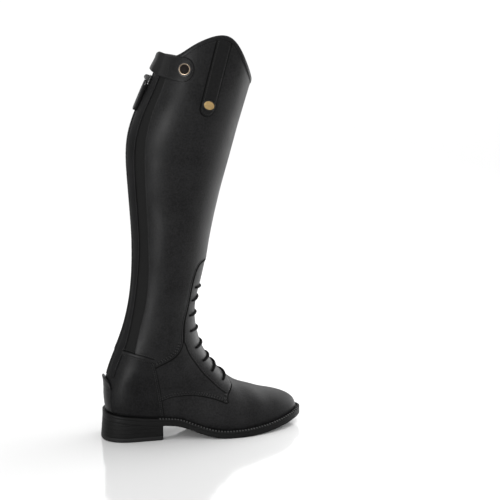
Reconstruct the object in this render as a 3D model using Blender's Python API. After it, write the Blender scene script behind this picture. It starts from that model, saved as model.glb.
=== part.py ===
"""Lace-up tall riding boot, right foot: sole, hollow upper, tongue, lace, straps and zip fittings."""
import math

import bmesh
import bpy
import numpy as np

# Driving sizes in millimetres: x from the back of the heel to the toe, y to the medial side, z up
MM = 0.001
GAP = 0.3

HEEL_CENTRE_X = 41.0
HEEL_BREAST_X = 80.0
BREAST_HOLLOW = 3.0
HEEL_FLARE = 2.5
TOP_PIECE_HEIGHT = 6.0
OUTSOLE_THICK = 5.6
WELT_THICK = 3.6
FEATHER_INSET = 5.3
INSOLE_THICK = 2.2

WALL = 2.4
FAN_X = 190.0
FAN_Z = 170.0
WALL_BULGE = 0.055
BACK_ROUNDING = 2.2
SHIN_ROUNDING = 1.45
CALF_ROUNDING = 2.0
VAMP_ROUNDING = 2.2
SHAFT_ROW = 15
RING_POINTS = 48
SHAFT_RINGS = 14

THROAT_WIDTH = 8.0
THROAT_DEPTH = 8.0
THROAT_TOP_Z = 210.0
THROAT_TOE_X = 169.0
TONGUE_HALF = 26.0
TONGUE_THICK = 1.8
TONGUE_GAP = 0.5
TONGUE_TOP_Z = 226.0
TONGUE_TOE_X = 184.0
LACE_RADIUS = 1.4
LACE_CLEAR = 1.6

HEEL_STRAP_HALF = 19.5
HEEL_STRAP_LOW_Z = 41.0
HEEL_STRAP_THICK = 1.2
SPUR_SEAM_Z = 69.5
SPUR_HEIGHT = 14.5
SPUR_THICK = (1.5, 5.0)

STRAP_THICK = 2.2
STRAP_LIFT = 0.65
SNAP_STRAP_TIP = 65.6
SNAP_STRAP_ROUND = 13.0
SNAP_STRAP_END_HALF = 15.3
SNAP_STRAP_SHEAR = 0.33
SNAP_STRAP_MEDIAL = 20.0
SNAP_STRAP_BACK_HALF = 12.0
SNAP_STRAP_Z = (490.5, 493.0)
SNAP_REACH = 54.0
SNAP_RADIUS = 9.0
SNAP_RING_WIDTH = 3.3
SNAP_HEIGHT = 2.2

BADGE_STRAP_HALF = 9.4
BADGE_STRAP_TIP = (135.7, 432.6)
BADGE_STRAP_LENGTH = 94.0
BADGE_STRAP_LEAN = math.radians(15.6)
BADGE_FROM_TIP = 13.8
BADGE_HALF = (8.8, 6.7)
BADGE_THICK = 1.8

ZIP_HALF = 5.5
ZIP_THICK = 1.2
ZIP_LOW_Z = 90.0
ZIP_TOP_Z = 478.0
HINGE_Z = 474.0
HINGE_PROUD = 5.8
TAB_REST = math.radians(1.6)
SLIDER_LENGTH = 8.0
SLIDER_HALF = 4.5
SLIDER_BASE = 1.9
EAR_INNER = 2.0
EAR_OUTER = 3.2
BARREL_RADIUS = 1.3
PULLER_HALF = 1.7
PULLER_THICK = 1.4
PULLER_LENGTH = 13.0
PULLER_EYE = 4.2
TAB_LENGTH = 32.0
TAB_HALF = (3.6, 5.2)
TAB_THICK = 2.0

# Outer edge of the sole seen from above, lateral side first: x, y
SOLE_OUTLINE = [
    (5, 0), (10.5, -19.5), (26, -29.3), (52, -32), (85, -31.8), (112, -34.3), (140, -41.5), (166, -46),
    (192, -45.2), (217, -39.3), (241, -29.5), (262, -14.5), (273, 4), (268, 20), (251, 33.5), (228, 42),
    (204, 45.3), (180, 43.5), (155, 37.5), (128, 30), (102, 27), (78, 28.8), (52, 31), (26, 28.8), (10.5, 19.3),
]

# Underside of the outsole along the foot; below zero it is rubbed flat on the floor: x, z
TREAD_LINE = [
    (0, 29.5), (20, 27), (48, 23.3), (80, 19.6), (100, 17.3), (112, 13.7), (124, 9), (136, 4.8), (148, 1.7),
    (159, 0.3), (170, -0.1), (182, -0.1), (192, 0.2), (205, 1.1), (225, 3.2), (245, 6.6), (273, 12.2),
]

# Back of the upper in side view: z, x
BACK_LINE = [
    (37.9, 10.3), (60, 8.3), (85, 11.1), (110, 19.6), (135, 29.9), (160, 37.9), (190, 44.2), (225, 47.8), (260, 48.6),
    (300, 46.9), (345, 44.1), (378, 43), (405, 46), (424, 51.7), (438, 57.5), (462, 70.6), (487, 82.3), (510, 90.8),
    (545, 103),
]

# Rings of the upper above the welt, up past the collar: front x, front z, back z, share of the sole's side curve
SECTIONS = [
    (266.3, 27.5, 46, 1.0),
    (262, 34.7, 55, 0.95),
    (252, 41.5, 64, 0.85),
    (237, 47, 73, 0.7),
    (220, 51.5, 83, 0.5),
    (204, 56, 92, 0.35),
    (188, 62.5, 102, 0.2),
    (172, 73, 112, 0.1),
    (157, 88.5, 123, 0),
    (145.5, 104.5, 134, 0),
    (136, 124, 147, 0),
    (130.5, 145, 161, 0),
    (128.6, 165, 175, 0),
    (131.3, 187, 190, 0),
    (137, 208, 208, 0),
    (143.5, 235, 235, 0),
    (148.3, 261, 261, 0),
    (154.5, 288, 288, 0),
    (164, 327, 327, 0),
    (175, 366, 366, 0),
    (186, 405, 405, 0),
    (193.5, 430, 430, 0),
    (205.5, 469, 469, 0),
    (229, 545, 545, 0),
]

# Half widths of the ankle and shaft, and the length of the rounded back: z, half width, back round
SHAFT = [
    (38, 29, 34), (70, 32, 38), (100, 33.5, 43), (130, 35, 47), (165, 36, 48), (200, 37.5, 48), (240, 40, 50),
    (285, 44.5, 54), (330, 49, 60), (375, 52, 67), (420, 52.5, 68), (470, 51.5, 64), (545, 49, 58),
]

# Top edge of the shaft, from back to front: share of the depth, lateral z, medial z
COLLAR = [
    (0, 503, 503), (0.1, 506, 499.5), (0.2, 517, 496), (0.33, 527, 491.5), (0.48, 530.8, 486), (0.58, 527.2, 482.5),
    (0.7, 514.8, 478), (0.82, 497, 473.8), (0.92, 480.5, 470), (1, 467, 467),
]

# Lace holes from the top down: section row of the upper, distance round it from the front
EYELETS = [
    (14.75, 22.8), (13.89, 22.8), (12.95, 24), (11.86, 25), (10.67, 24.5), (9.59, 25), (8.64, 26), (7.74, 25.5),
]


def clear_scene():
    for item in list(bpy.data.objects):
        bpy.data.objects.remove(item)


def spline(knots, values):
    """Natural cubic through the rows of a table."""
    knots = np.asarray(knots, float)
    values = np.asarray(values, float)
    step = np.diff(knots)
    system = np.diag(np.r_[1, 2 * (step[:-1] + step[1:]), 1])
    for i in range(1, len(step)):
        system[i, i - 1] = step[i - 1]
        system[i, i + 1] = step[i]
    right = np.zeros(len(knots))
    right[1:-1] = 6 * np.diff(np.diff(values) / step)
    bend = np.linalg.solve(system, right)

    def evaluate(at):
        at = np.clip(np.asarray(at, float), knots[0], knots[-1])
        i = np.clip(np.searchsorted(knots, at, side="right") - 1, 0, len(step) - 1)
        below = at - knots[i]
        above = knots[i + 1] - at
        curve = (bend[i] * above ** 3 + bend[i + 1] * below ** 3) / (6 * step[i])
        chord_low = (values[i] / step[i] - bend[i] * step[i] / 6) * above
        chord_high = (values[i + 1] / step[i] - bend[i + 1] * step[i] / 6) * below
        return curve + chord_low + chord_high

    return evaluate


def columns(table):
    """Splines of every later column of a table against its first."""
    first, *rest = zip(*table)
    return [spline(first, column) for column in rest]


def smoothstep(value, low, high):
    share = np.clip((value - low) / (high - low), 0, 1)
    return share * share * (3 - 2 * share)


def closed_curve(points, count):
    """Smooth closed line through points, evenly sampled in its own parameter."""
    points = np.asarray(points, float)
    looped = np.vstack([points, points, points, points[:1]])
    length = np.r_[0, np.cumsum(np.linalg.norm(np.diff(looped, axis=0), axis=1))]
    start = length[len(points)]
    at = start + (length[2 * len(points)] - start) * np.arange(count) / count
    return np.column_stack([spline(length, looped[:, axis])(at) for axis in (0, 1)])


def inset_edge(distance):
    """Lateral and medial y of the sole's edge, moved inwards, as functions of x; with the x range and toe y."""
    line = closed_curve(SOLE_OUTLINE, 720)
    along = np.roll(line, -1, axis=0) - np.roll(line, 1, axis=0)
    along /= np.linalg.norm(along, axis=1)[:, None]
    line = line + distance * np.column_stack([-along[:, 1], along[:, 0]])
    line = np.roll(line, -int(np.argmin(line[:, 0])), axis=0)
    toe = int(np.argmax(line[:, 0]))
    lateral = line[:toe + 1]
    medial = np.vstack([line[toe:], line[:1]])[::-1]

    def edge(side):
        branch = lateral if side < 0 else medial
        return lambda x: np.interp(x, branch[:, 0], branch[:, 1])

    return edge(-1), edge(1), line[0, 0], line[toe, 0], line[toe, 1]


tread_curve, = columns(TREAD_LINE)
back_x, = columns(BACK_LINE)
shaft_half, shaft_back_round = columns(SHAFT)
collar_lateral, collar_medial = columns(COLLAR)
feather_lateral, feather_medial, FEATHER_BACK, FEATHER_TIP, TIP_Y = inset_edge(FEATHER_INSET)


def tread_z(x):
    return np.maximum(tread_curve(x), 0)


def feather_z(x):
    """Height where the upper meets the welt."""
    return tread_z(x) + OUTSOLE_THICK + GAP + WELT_THICK + GAP


FEATHER_ROW = (FEATHER_TIP, feather_z(FEATHER_TIP), feather_z(FEATHER_BACK), 1.0)
ALL_ROWS = [FEATHER_ROW] + SECTIONS
section_columns = [spline(range(len(ALL_ROWS)), column) for column in zip(*ALL_ROWS)]


def front_line(rows):
    return section_columns[0](rows), section_columns[1](rows)


FINE_ROWS = np.linspace(0, len(ALL_ROWS) - 1, 1500)
FINE_X, FINE_Z = front_line(FINE_ROWS)
FAN_ANGLE = np.arctan2(FAN_Z - FINE_Z, FAN_X - FINE_X)
FAN_REACH = np.hypot(FAN_Z - FINE_Z, FAN_X - FINE_X)
IN_FAN = (FAN_ANGLE > -0.3) & (FAN_ANGLE < math.pi / 2 + 0.3)


def front_x_at(z):
    shaft = FINE_ROWS > 13
    return np.interp(z, FINE_Z[shaft], FINE_X[shaft])


def ridge_z_at(x):
    foot = FINE_ROWS < 9
    return np.interp(x, FINE_X[foot][::-1], FINE_Z[foot][::-1])


def front_share(x, z):
    """0 where the section has its full width, 1 on the front line; measured along a fan of rays."""
    angle = np.clip(np.arctan2(FAN_Z - z, FAN_X - x), 0, math.pi / 2)
    order = np.argsort(FAN_ANGLE[IN_FAN])
    reach = np.interp(angle, FAN_ANGLE[IN_FAN][order], FAN_REACH[IN_FAN][order])
    shaft_z = np.maximum(z, FAN_Z)
    shaft_round = front_x_at(shaft_z) - back_x(shaft_z) - shaft_back_round(shaft_z)
    foot_x = np.maximum(x, FAN_X)
    foot_round = ridge_z_at(foot_x) - feather_z(foot_x)
    turn = smoothstep(angle, 0, math.pi / 2)
    rounding = shaft_round * (1 - turn) + foot_round * turn
    behind = np.where(z >= FAN_Z, front_x_at(z) - x, np.hypot(FAN_Z - z, FAN_X - x) - reach)
    arch = np.maximum(ridge_z_at(x) - feather_z(x), 0.2)
    share = np.where((x >= FAN_X) & (z < FAN_Z), (z - feather_z(x)) / arch, 1 - behind / np.maximum(rounding, 1))
    return np.clip(share, 0, 1)


def front_rounding(x, z):
    """Exponent of the front of a section: low is a narrow shin, high a broad vamp or calf."""
    calf = smoothstep(z, 230, 400)
    vamp = smoothstep(x, 160, 225) * (1 - smoothstep(z, 95, 150))
    return SHIN_ROUNDING + (CALF_ROUNDING - SHIN_ROUNDING) * calf + (VAMP_ROUNDING - SHIN_ROUNDING) * vamp


def half_width(x, z, side):
    """Distance of the outer wall from the ridge line at a place in side view."""
    rise = z - feather_z(x)
    heel_lean = (back_x(z) - back_x(BACK_LINE[0][0])) * (1 - smoothstep(x, 60, 150))
    edge = np.where(side < 0, feather_lateral(x - heel_lean), feather_medial(x - heel_lean))
    foot = np.abs(edge - ridge_y(x)) * (1 + WALL_BULGE * np.sin(math.pi * np.clip(rise / 45, 0, 1)))
    back_share = np.clip(1 - (x - back_x(z)) / shaft_back_round(z), 0, 1)
    shaft = shaft_half(z) * np.sqrt(1 - back_share ** BACK_ROUNDING)
    forefoot = smoothstep(x, 112, 168) * (1 - smoothstep(z, 95, 150))
    blend = smoothstep(rise, 10, 62) * (1 - forefoot)
    return (foot * (1 - blend) + shaft * blend) * np.sqrt(1 - front_share(x, z) ** front_rounding(x, z))


def ridge_y(x):
    return TIP_Y * smoothstep(x, 100, 180)


def upper_point(row, angle):
    """Outer surface of the upper: section row, and angle round it from the back (0) by the lateral side."""
    row, angle = np.broadcast_arrays(np.asarray(row, float), np.asarray(angle, float))
    front_x, front_z, back_z, sag = (column(row) for column in section_columns)
    along = (1 - np.cos(angle)) / 2
    rear_x = back_x(back_z)
    chord_x = FEATHER_BACK + (FEATHER_TIP - FEATHER_BACK) * along
    chord_z = FEATHER_ROW[2] + (FEATHER_ROW[1] - FEATHER_ROW[2]) * along
    x = rear_x + (front_x - rear_x) * along
    z = back_z + (front_z - back_z) * along + sag * (feather_z(chord_x) - chord_z)
    side = -np.sign(np.round(np.sin(angle), 9))
    y = ridge_y(x) + side * half_width(x, z, side)
    return np.stack([x, y, z], axis=-1)


def upper_normal(row, angle):
    nudge = 0.02
    up = upper_point(row + nudge, angle) - upper_point(row - nudge, angle)
    round_it = upper_point(row, angle + nudge) - upper_point(row, angle - nudge)
    normal = np.cross(round_it, up)
    return normal / np.linalg.norm(normal, axis=-1)[..., None]


def upper_offset(row, angle, proud):
    return upper_point(row, angle) + proud * upper_normal(row, angle)


def row_at_z(z):
    """Section row of a level ring of the shaft."""
    level = FINE_ROWS >= SHAFT_ROW
    return np.interp(z, FINE_Z[level], FINE_ROWS[level])


def row_at_ridge_x(x):
    """Section row whose front lies at x on the vamp."""
    foot = FINE_ROWS < 13
    return np.interp(x, FINE_X[foot][::-1], FINE_ROWS[foot][::-1])


def angle_from(row, reach, centre):
    """Angle at a distance round one ring from the back (centre 0) or the front (centre pi), lateral negative."""
    turn = np.linspace(-math.pi / 2, math.pi / 2, 181)
    ring = upper_point(row, centre + turn)
    length = np.r_[0, np.cumsum(np.linalg.norm(np.diff(ring, axis=0), axis=1))]
    length -= np.interp(0, turn, length)
    lateral_first = 1 if centre else -1
    return centre + np.interp(np.asarray(reach) * lateral_first, length, turn)


def side_angle(x, z):
    """Angle of the lateral wall of the shaft at a place in side view."""
    along = (x - back_x(z)) / (front_x_at(z) - back_x(z))
    return np.arccos(np.clip(1 - 2 * along, -1, 1))


def back_place(z, reach):
    """Point of the wall at a distance round the back at one level, lateral negative."""
    x_line = back_x(z) + 45 * (1 - np.cos(np.linspace(0, math.pi / 2, 60)))
    side = math.copysign(1.0, reach)
    y_line = half_width(x_line, np.full_like(x_line, z), np.full_like(x_line, side))
    y_line[0] = 0
    length = np.r_[0, np.cumsum(np.hypot(np.diff(x_line), np.diff(y_line)))]
    distance = abs(reach)
    return np.array([np.interp(distance, length, x_line), side * np.interp(distance, length, y_line), z])


def back_offset(z, reach, proud):
    """Point standing proud of the wall round the back at one level."""
    up = back_place(z + 1, reach) - back_place(z - 1, reach)
    round_it = back_place(z, reach + 0.5) - back_place(z, reach - 0.5)
    normal = np.cross(up, round_it)
    return back_place(z, reach) + proud * normal / np.linalg.norm(normal)


def finish(name, bm, material, parent, crease=40):
    """Close a bmesh, in millimetres, as a named object in metres."""
    bmesh.ops.remove_doubles(bm, verts=bm.verts, dist=0.001)
    bmesh.ops.recalc_face_normals(bm, faces=bm.faces)
    bmesh.ops.scale(bm, verts=bm.verts, vec=(MM, MM, MM))
    mesh = bpy.data.meshes.new(name)
    bm.to_mesh(mesh)
    bm.free()
    mesh.shade_smooth()
    mesh.set_sharp_from_angle(angle=math.radians(crease))
    mesh.materials.append(material)
    item = bpy.data.objects.new(name, mesh)
    bpy.context.scene.collection.objects.link(item)
    item.parent = parent
    return item


def combine(item, tool, operation):
    """Cut or join with a second object that is only a guide."""
    tool.hide_render = True
    tool.display_type = "WIRE"
    change = item.modifiers.new(tool.name, "BOOLEAN")
    change.operation = operation
    change.object = tool


def grid_faces(bm, grid, close_columns=False):
    rows = [[bm.verts.new(tuple(point)) for point in line] for line in grid]
    for low, high in zip(rows[:-1], rows[1:]):
        count = len(low)
        for j in range(count if close_columns else count - 1):
            bm.faces.new((low[j], low[(j + 1) % count], high[(j + 1) % count], high[j]))
    return rows


def shell(outer, inner):
    """Closed solid between two grids of points of one size."""
    bm = bmesh.new()
    top = grid_faces(bm, outer)
    bottom = grid_faces(bm, inner)
    rims = [(top[0], bottom[0]), (top[-1], bottom[-1])]
    rims += [([line[j] for line in top], [line[j] for line in bottom]) for j in (0, -1)]
    for one, other in rims:
        for j in range(len(one) - 1):
            bm.faces.new((one[j], one[j + 1], other[j + 1], other[j]))
    return bm


def stacked_loops(loops):
    """Closed solid through loops of equal count, capped at both ends."""
    bm = bmesh.new()
    rows = grid_faces(bm, loops, close_columns=True)
    for cap in (rows[0], rows[-1]):
        bm.faces.new(cap)
    return bm


def tube(path, radius, sides=6):
    """Closed round tube along points."""
    path = np.asarray(path, float)
    along = np.gradient(path, axis=0)
    along /= np.linalg.norm(along, axis=1)[:, None]
    across = np.cross(along[0], (0.3, 0.2, 0.9))
    turn = 2 * math.pi * np.arange(sides) / sides
    loops = []
    for point, direction in zip(path, along):
        across = across - direction * np.dot(across, direction)
        across /= np.linalg.norm(across)
        other = np.cross(direction, across)
        loops.append(point + radius * (np.outer(np.cos(turn), across) + np.outer(np.sin(turn), other)))
    return stacked_loops(loops)


def surface_frame(row, angle, proud):
    """Point on the upper with its sideways, upwards and outwards directions."""
    out = upper_normal(row, angle)
    up = upper_point(row + 0.02, angle) - upper_point(row - 0.02, angle)
    up = up - out * np.dot(up, out)
    up /= np.linalg.norm(up)
    return upper_offset(row, angle, proud), np.cross(up, out), up, out


def oval_plate(frame, half, profile, count):
    """Oval solid standing on a frame; profile rows give a share of the half sizes and a height."""
    origin, across, up, out = frame
    turn = 2 * math.pi * np.arange(count) / count
    loops = []
    for share, height in profile:
        ring = np.outer(np.cos(turn) * half[0] * share, across) + np.outer(np.sin(turn) * half[1] * share, up)
        loops.append(origin + ring + height * out)
    return loops


def edge_stations(distance, count):
    """Points across the sole at stations along it: x, lateral y, medial y; the ends come to one point."""
    lateral, medial, start, end, _ = inset_edge(distance)
    x = start + (end - start) * (1 - np.cos(np.linspace(0, math.pi, count))) / 2
    return x, lateral(x), medial(x)


def slab(distance, low, high, count=34):
    """Plate inside the sole's edge between two heights that follow x."""
    x, lateral, medial = edge_stations(distance, count)
    middle = (lateral + medial) / 2
    outer = [np.column_stack([x, y, high(x)]) for y in (lateral, middle, medial)]
    inner = [np.column_stack([x, y, low(x)]) for y in (lateral, middle, medial)]
    return shell(outer, inner)


def build_outsole(material, root):
    finish("outsole", slab(0, tread_z, lambda x: tread_z(x) + OUTSOLE_THICK), material, root)


def build_welt(material, root):
    low = OUTSOLE_THICK + GAP
    high = low + WELT_THICK
    inner_edge = FEATHER_INSET + WALL + 0.4
    loops = []
    for distance, height in ((0, low), (0, high), (inner_edge, high), (inner_edge, low)):
        x, lateral, medial = edge_stations(distance, 36)
        ring_x = np.r_[x, x[-2:0:-1]]
        ring_y = np.r_[lateral, medial[-2:0:-1]]
        loops.append(np.column_stack([ring_x, ring_y, tread_z(ring_x) + height]))
    bm = bmesh.new()
    grid_faces(bm, loops + loops[:1], close_columns=True)
    finish("welt", bm, material, root)


def build_insole(material, root):
    inset = FEATHER_INSET + WALL + 0.9
    bm = slab(inset, lambda x: tread_z(x) + OUTSOLE_THICK + GAP, lambda x: feather_z(x) + INSOLE_THICK, 30)
    finish("insole", bm, material, root)


def heel_block(low, high):
    """Block under the seat from the back to the hollowed breast, flaring backwards towards the floor."""
    lateral, medial, start, _, _ = inset_edge(0)
    grids = []
    for height in (high, low):
        lines = []
        for step in 1 - np.cos(np.linspace(0, math.pi / 2, 11)):
            place = np.linspace(-1, 1, 7)
            breast = HEEL_BREAST_X - BREAST_HOLLOW * (1 - place ** 2)
            x = start + (breast - start) * step
            y = (lateral(x) + medial(x)) / 2 + place * (medial(x) - lateral(x)) / 2
            z = height(x)
            flare = HEEL_FLARE * (1 - step) * (1 - np.minimum(z / tread_z(start), 1))
            lines.append(np.column_stack([x - flare, y, z]))
        grids.append(lines)
    return shell(*grids)


def build_heel(stack_material, top_material, root):
    stack = heel_block(lambda x: np.full_like(x, TOP_PIECE_HEIGHT + GAP), lambda x: tread_z(x) - GAP)
    finish("heel_stack", stack, stack_material, root)
    top_piece = heel_block(lambda x: np.zeros_like(x), lambda x: np.full_like(x, TOP_PIECE_HEIGHT))
    finish("heel_top_piece", top_piece, top_material, root)


def upper_rings(proud):
    """Rings of the upper's surface moved outwards by proud, from the welt to the collar."""
    turn = 2 * math.pi * np.arange(RING_POINTS) / RING_POINTS
    angle = turn + 0.15 * np.sin(2 * turn)
    rings = [upper_offset(row, angle, proud) for row in range(SHAFT_ROW + 1)]
    rings[0][:, 2] = feather_z(rings[0][:, 0])
    along = (1 - np.cos(angle)) / 2
    collar = np.where(np.sin(angle) > 0, collar_lateral(along), collar_medial(along))
    start = ALL_ROWS[SHAFT_ROW][1]
    for step in np.linspace(0, 1, SHAFT_RINGS + 1)[1:]:
        rings.append(upper_offset(row_at_z(start + (collar - start) * step), angle, proud))
    rings[-1][:, 2] = collar
    return rings


def build_upper(material, root):
    outer = upper_rings(0)
    inner = upper_rings(-WALL)
    bm = bmesh.new()
    grid_faces(bm, outer + inner[::-1] + outer[:1], close_columns=True)
    upper = finish("upper", bm, material, root)
    combine(upper, throat_cutter(root), "DIFFERENCE")


def throat_cutter(root):
    """Slot down the front line, from above the top lace holes to the vamp."""
    count = 16
    rows = np.linspace(row_at_ridge_x(THROAT_TOE_X), row_at_z(THROAT_TOP_Z), count)
    line = np.column_stack(front_line(rows))
    along = np.gradient(line, axis=0)
    along /= np.linalg.norm(along, axis=1)[:, None]
    out = np.column_stack([along[:, 1], -along[:, 0]])
    half = THROAT_WIDTH / 2 * np.sqrt(np.clip(1 - np.linspace(-1, 1, count) ** 10, 0.12, 1))
    sheets = []
    for depth in (THROAT_DEPTH, -THROAT_DEPTH):
        place = line + depth * out
        centre = ridge_y(line[:, 0])
        edges = (centre - half, centre + half)
        sheets.append([np.column_stack([place[:, 0], edge, place[:, 1]]) for edge in edges])
    return finish("throat_cutter", shell(*sheets), None, root)


def build_tongue(material, root):
    rows = np.linspace(row_at_ridge_x(TONGUE_TOE_X), row_at_z(TONGUE_TOP_Z), 15)
    reach = np.linspace(-TONGUE_HALF, TONGUE_HALF, 9)
    outer_depth = WALL + TONGUE_GAP
    faces = []
    for depth in (outer_depth, outer_depth + TONGUE_THICK):
        faces.append([upper_offset(row, angle_from(row, reach, math.pi), -depth) for row in rows])
    finish("tongue", shell(*faces), material, root)


def lace_strand(first_side):
    """One half of the lace, crossing the throat from hole to hole on its way up."""
    rows, reaches = zip(*EYELETS[::-1])
    holes = np.arange(len(rows))
    step = np.linspace(0, holes[-1], 5 * holes[-1] + 1)
    row = np.interp(step, holes, rows)
    swing = first_side * np.interp(step, holes, reaches) * np.cos(math.pi * step)
    proud = GAP + LACE_CLEAR + LACE_RADIUS
    path = [upper_offset(r, angle_from(r, s, math.pi), proud) for r, s in zip(row, swing)]
    return tube(path, LACE_RADIUS)


def build_lace(material, root):
    lace = finish("lace", lace_strand(-1), material, root)
    other = finish("lace_other_strand", lace_strand(1), material, root)
    top_row, top_reach = EYELETS[0]
    angles = angle_from(top_row, np.linspace(-top_reach, top_reach, 11), math.pi)
    bar = upper_offset(top_row, angles, GAP + LACE_CLEAR + 1.1 * LACE_RADIUS)
    top_bar = finish("lace_top_bar", tube(bar, 1.1 * LACE_RADIUS), material, root)
    combine(lace, other, "UNION")
    combine(lace, top_bar, "UNION")


def build_heel_back(material, root):
    """Back stay of the heel, and the half-moon ledge above it that thickens to its top edge."""
    reach = HEEL_STRAP_HALF * np.linspace(-1, 1, 9)
    stay_z = np.linspace(HEEL_STRAP_LOW_Z, SPUR_SEAM_Z - GAP, 5)
    stay = [[[back_offset(z, r, GAP + thick) for r in reach] for z in stay_z] for thick in (HEEL_STRAP_THICK, 0)]
    finish("heel_strap", shell(*stay), material, root)
    across = np.linspace(-1, 1, 13)
    height = SPUR_HEIGHT * np.sqrt(np.clip(1 - np.abs(across) ** 2.4, 0.03, 1))
    rest = []
    for proud in (True, False):
        lines = []
        for share in np.linspace(0, 1, 5):
            thick = SPUR_THICK[0] + (SPUR_THICK[1] - SPUR_THICK[0]) * share ** 1.5 * (1 - 0.6 * across ** 2)
            places = zip(SPUR_SEAM_Z + share * height, HEEL_STRAP_HALF * across, GAP + thick * proud)
            lines.append([back_offset(z, r, depth) for z, r, depth in places])
        rest.append(lines)
    finish("spur_rest", shell(*rest), material, root)


def snap_strap_lift(reach):
    """Height of the snap strap's underside over the upper: it steps over the zip."""
    return STRAP_LIFT + (ZIP_THICK + GAP) * (1 - smoothstep(np.abs(reach), 7, 18))


def build_snap_strap(leather, metal, enamel, root):
    tip = SNAP_STRAP_TIP - SNAP_STRAP_ROUND * (1 - np.sin(np.linspace(math.pi / 2 - 0.12, 0, 6)))
    reach = -np.r_[tip, 42, 32, 24, 17, 11, 5, 0, -5, -11, -SNAP_STRAP_MEDIAL]
    round_centre = SNAP_STRAP_TIP - SNAP_STRAP_ROUND
    beyond = np.clip((-reach - round_centre) / SNAP_STRAP_ROUND, 0, 1)
    share = np.clip(-reach / round_centre, 0, 1)
    half = SNAP_STRAP_BACK_HALF + (SNAP_STRAP_END_HALF - SNAP_STRAP_BACK_HALF) * share
    half = half * np.sqrt(1 - beyond ** 2)
    middle = SNAP_STRAP_Z[1] + (SNAP_STRAP_Z[0] - SNAP_STRAP_Z[1]) * share
    faces = []
    for thick in (STRAP_THICK, 0):
        lines = []
        for distance, z, spread, turned in zip(reach, middle, half, share):
            rise = np.linspace(-spread, spread, 6)
            rows = row_at_z(z + rise)
            around = distance + SNAP_STRAP_SHEAR * turned * rise
            angles = [angle_from(row, place, 0) for row, place in zip(rows, around)]
            lines.append([upper_offset(r, a, snap_strap_lift(distance) + thick) for r, a in zip(rows, angles)])
        faces.append(lines)
    finish("snap_strap", shell(*faces), leather, root)
    row = row_at_z(SNAP_STRAP_Z[0] + 1)
    frame = surface_frame(row, angle_from(row, -SNAP_REACH, 0), snap_strap_lift(SNAP_REACH) + STRAP_THICK + GAP)
    inner = 1 - SNAP_RING_WIDTH / SNAP_RADIUS
    size = (SNAP_RADIUS, SNAP_RADIUS)
    ring = oval_plate(frame, size, [(inner, 0), (1, 0), (1, 0.6 * SNAP_HEIGHT), (0.86, SNAP_HEIGHT),
                                    (inner, 0.7 * SNAP_HEIGHT), (inner, 0)], 24)
    bm = bmesh.new()
    grid_faces(bm, ring, close_columns=True)
    finish("snap_ring", bm, metal, root)
    cap = oval_plate(frame, size, [(inner - 0.04, 0), (inner - 0.04, 0.6), (0.4, 1.1), (0.12, 1.25)], 24)
    finish("snap_cap", stacked_loops(cap), enamel, root)


def build_badge_strap(leather, metal, root):
    along = np.array([math.sin(BADGE_STRAP_LEAN), math.cos(BADGE_STRAP_LEAN)])
    across = np.array([along[1], -along[0]])
    round_end = BADGE_STRAP_HALF * (1 - np.cos(np.linspace(0.25, math.pi / 2, 5)))
    distance = np.r_[round_end, np.linspace(BADGE_STRAP_HALF, BADGE_STRAP_LENGTH, 8)[1:]]
    half = BADGE_STRAP_HALF * np.sqrt(1 - np.clip(1 - distance / BADGE_STRAP_HALF, 0, 1) ** 2)
    faces = []
    for thick in (STRAP_THICK, 0):
        lines = []
        for reach, spread in zip(distance, half):
            place = np.array(BADGE_STRAP_TIP) + reach * along + np.outer(np.linspace(-spread, spread, 5), across)
            lines.append(upper_offset(row_at_z(place[:, 1]), side_angle(place[:, 0], place[:, 1]), STRAP_LIFT + thick))
        faces.append(lines)
    finish("badge_strap", shell(*faces), leather, root)
    x, z = np.array(BADGE_STRAP_TIP) + BADGE_FROM_TIP * along
    frame = surface_frame(row_at_z(z), side_angle(x, z), STRAP_LIFT + STRAP_THICK + GAP)
    profile = [(1, 0), (1, 0.5 * BADGE_THICK), (0.88, BADGE_THICK), (0.5, 1.1 * BADGE_THICK), (0.1, 1.15 * BADGE_THICK)]
    finish("badge", stacked_loops(oval_plate(frame, BADGE_HALF, profile, 24)), metal, root)


def build_zip(tape, metal, leather, root):
    levels = np.linspace(ZIP_LOW_Z, ZIP_TOP_Z, 28)
    reach = ZIP_HALF * np.linspace(-1, 1, 5)
    chain = [[[back_offset(z, r, GAP + thick) for r in reach] for z in levels] for thick in (ZIP_THICK, 0)]
    finish("zip_chain", shell(*chain), tape, root)

    # Slider and pull hang in a frame on the hinge axis: x into the shaft, y along the axis, z up the back
    slope = float(back_x(HINGE_Z + 1) - back_x(HINGE_Z - 1)) / 2
    lean = math.atan(slope)
    place = (float(back_x(HINGE_Z)) - HINGE_PROUD * math.cos(lean), 0, HINGE_Z + HINGE_PROUD * math.sin(lean))
    head = add_empty("zip_head", place, lean, root)
    hinge = add_empty("pull_hinge", place, lean - TAB_REST, root)
    build_slider(metal, head)
    build_pull(metal, leather, hinge)


def add_empty(name, place, lean, parent):
    empty = bpy.data.objects.new(name, None)
    bpy.context.scene.collection.objects.link(empty)
    empty.parent = parent
    empty.location = [value * MM for value in place]
    empty.rotation_euler = (0, lean, 0)
    return empty


def build_slider(metal, head):
    """Base plate on the chain with two ears that hold the pull's barrel."""
    floor = HINGE_PROUD - GAP - ZIP_THICK - GAP
    top = floor - SLIDER_BASE
    ear = -BARREL_RADIUS - 0.4
    section = [(floor, -SLIDER_HALF), (floor, SLIDER_HALF), (top, SLIDER_HALF), (top, EAR_OUTER), (ear, EAR_OUTER),
               (ear, EAR_INNER), (top, EAR_INNER), (top, -EAR_INNER), (ear, -EAR_INNER), (ear, -EAR_OUTER),
               (top, -EAR_OUTER), (top, -SLIDER_HALF)]
    loops = [[(x, y, z) for x, y in section] for z in (-SLIDER_LENGTH / 2, SLIDER_LENGTH / 2)]
    finish("zip_slider", stacked_loops(loops), metal, head)


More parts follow.
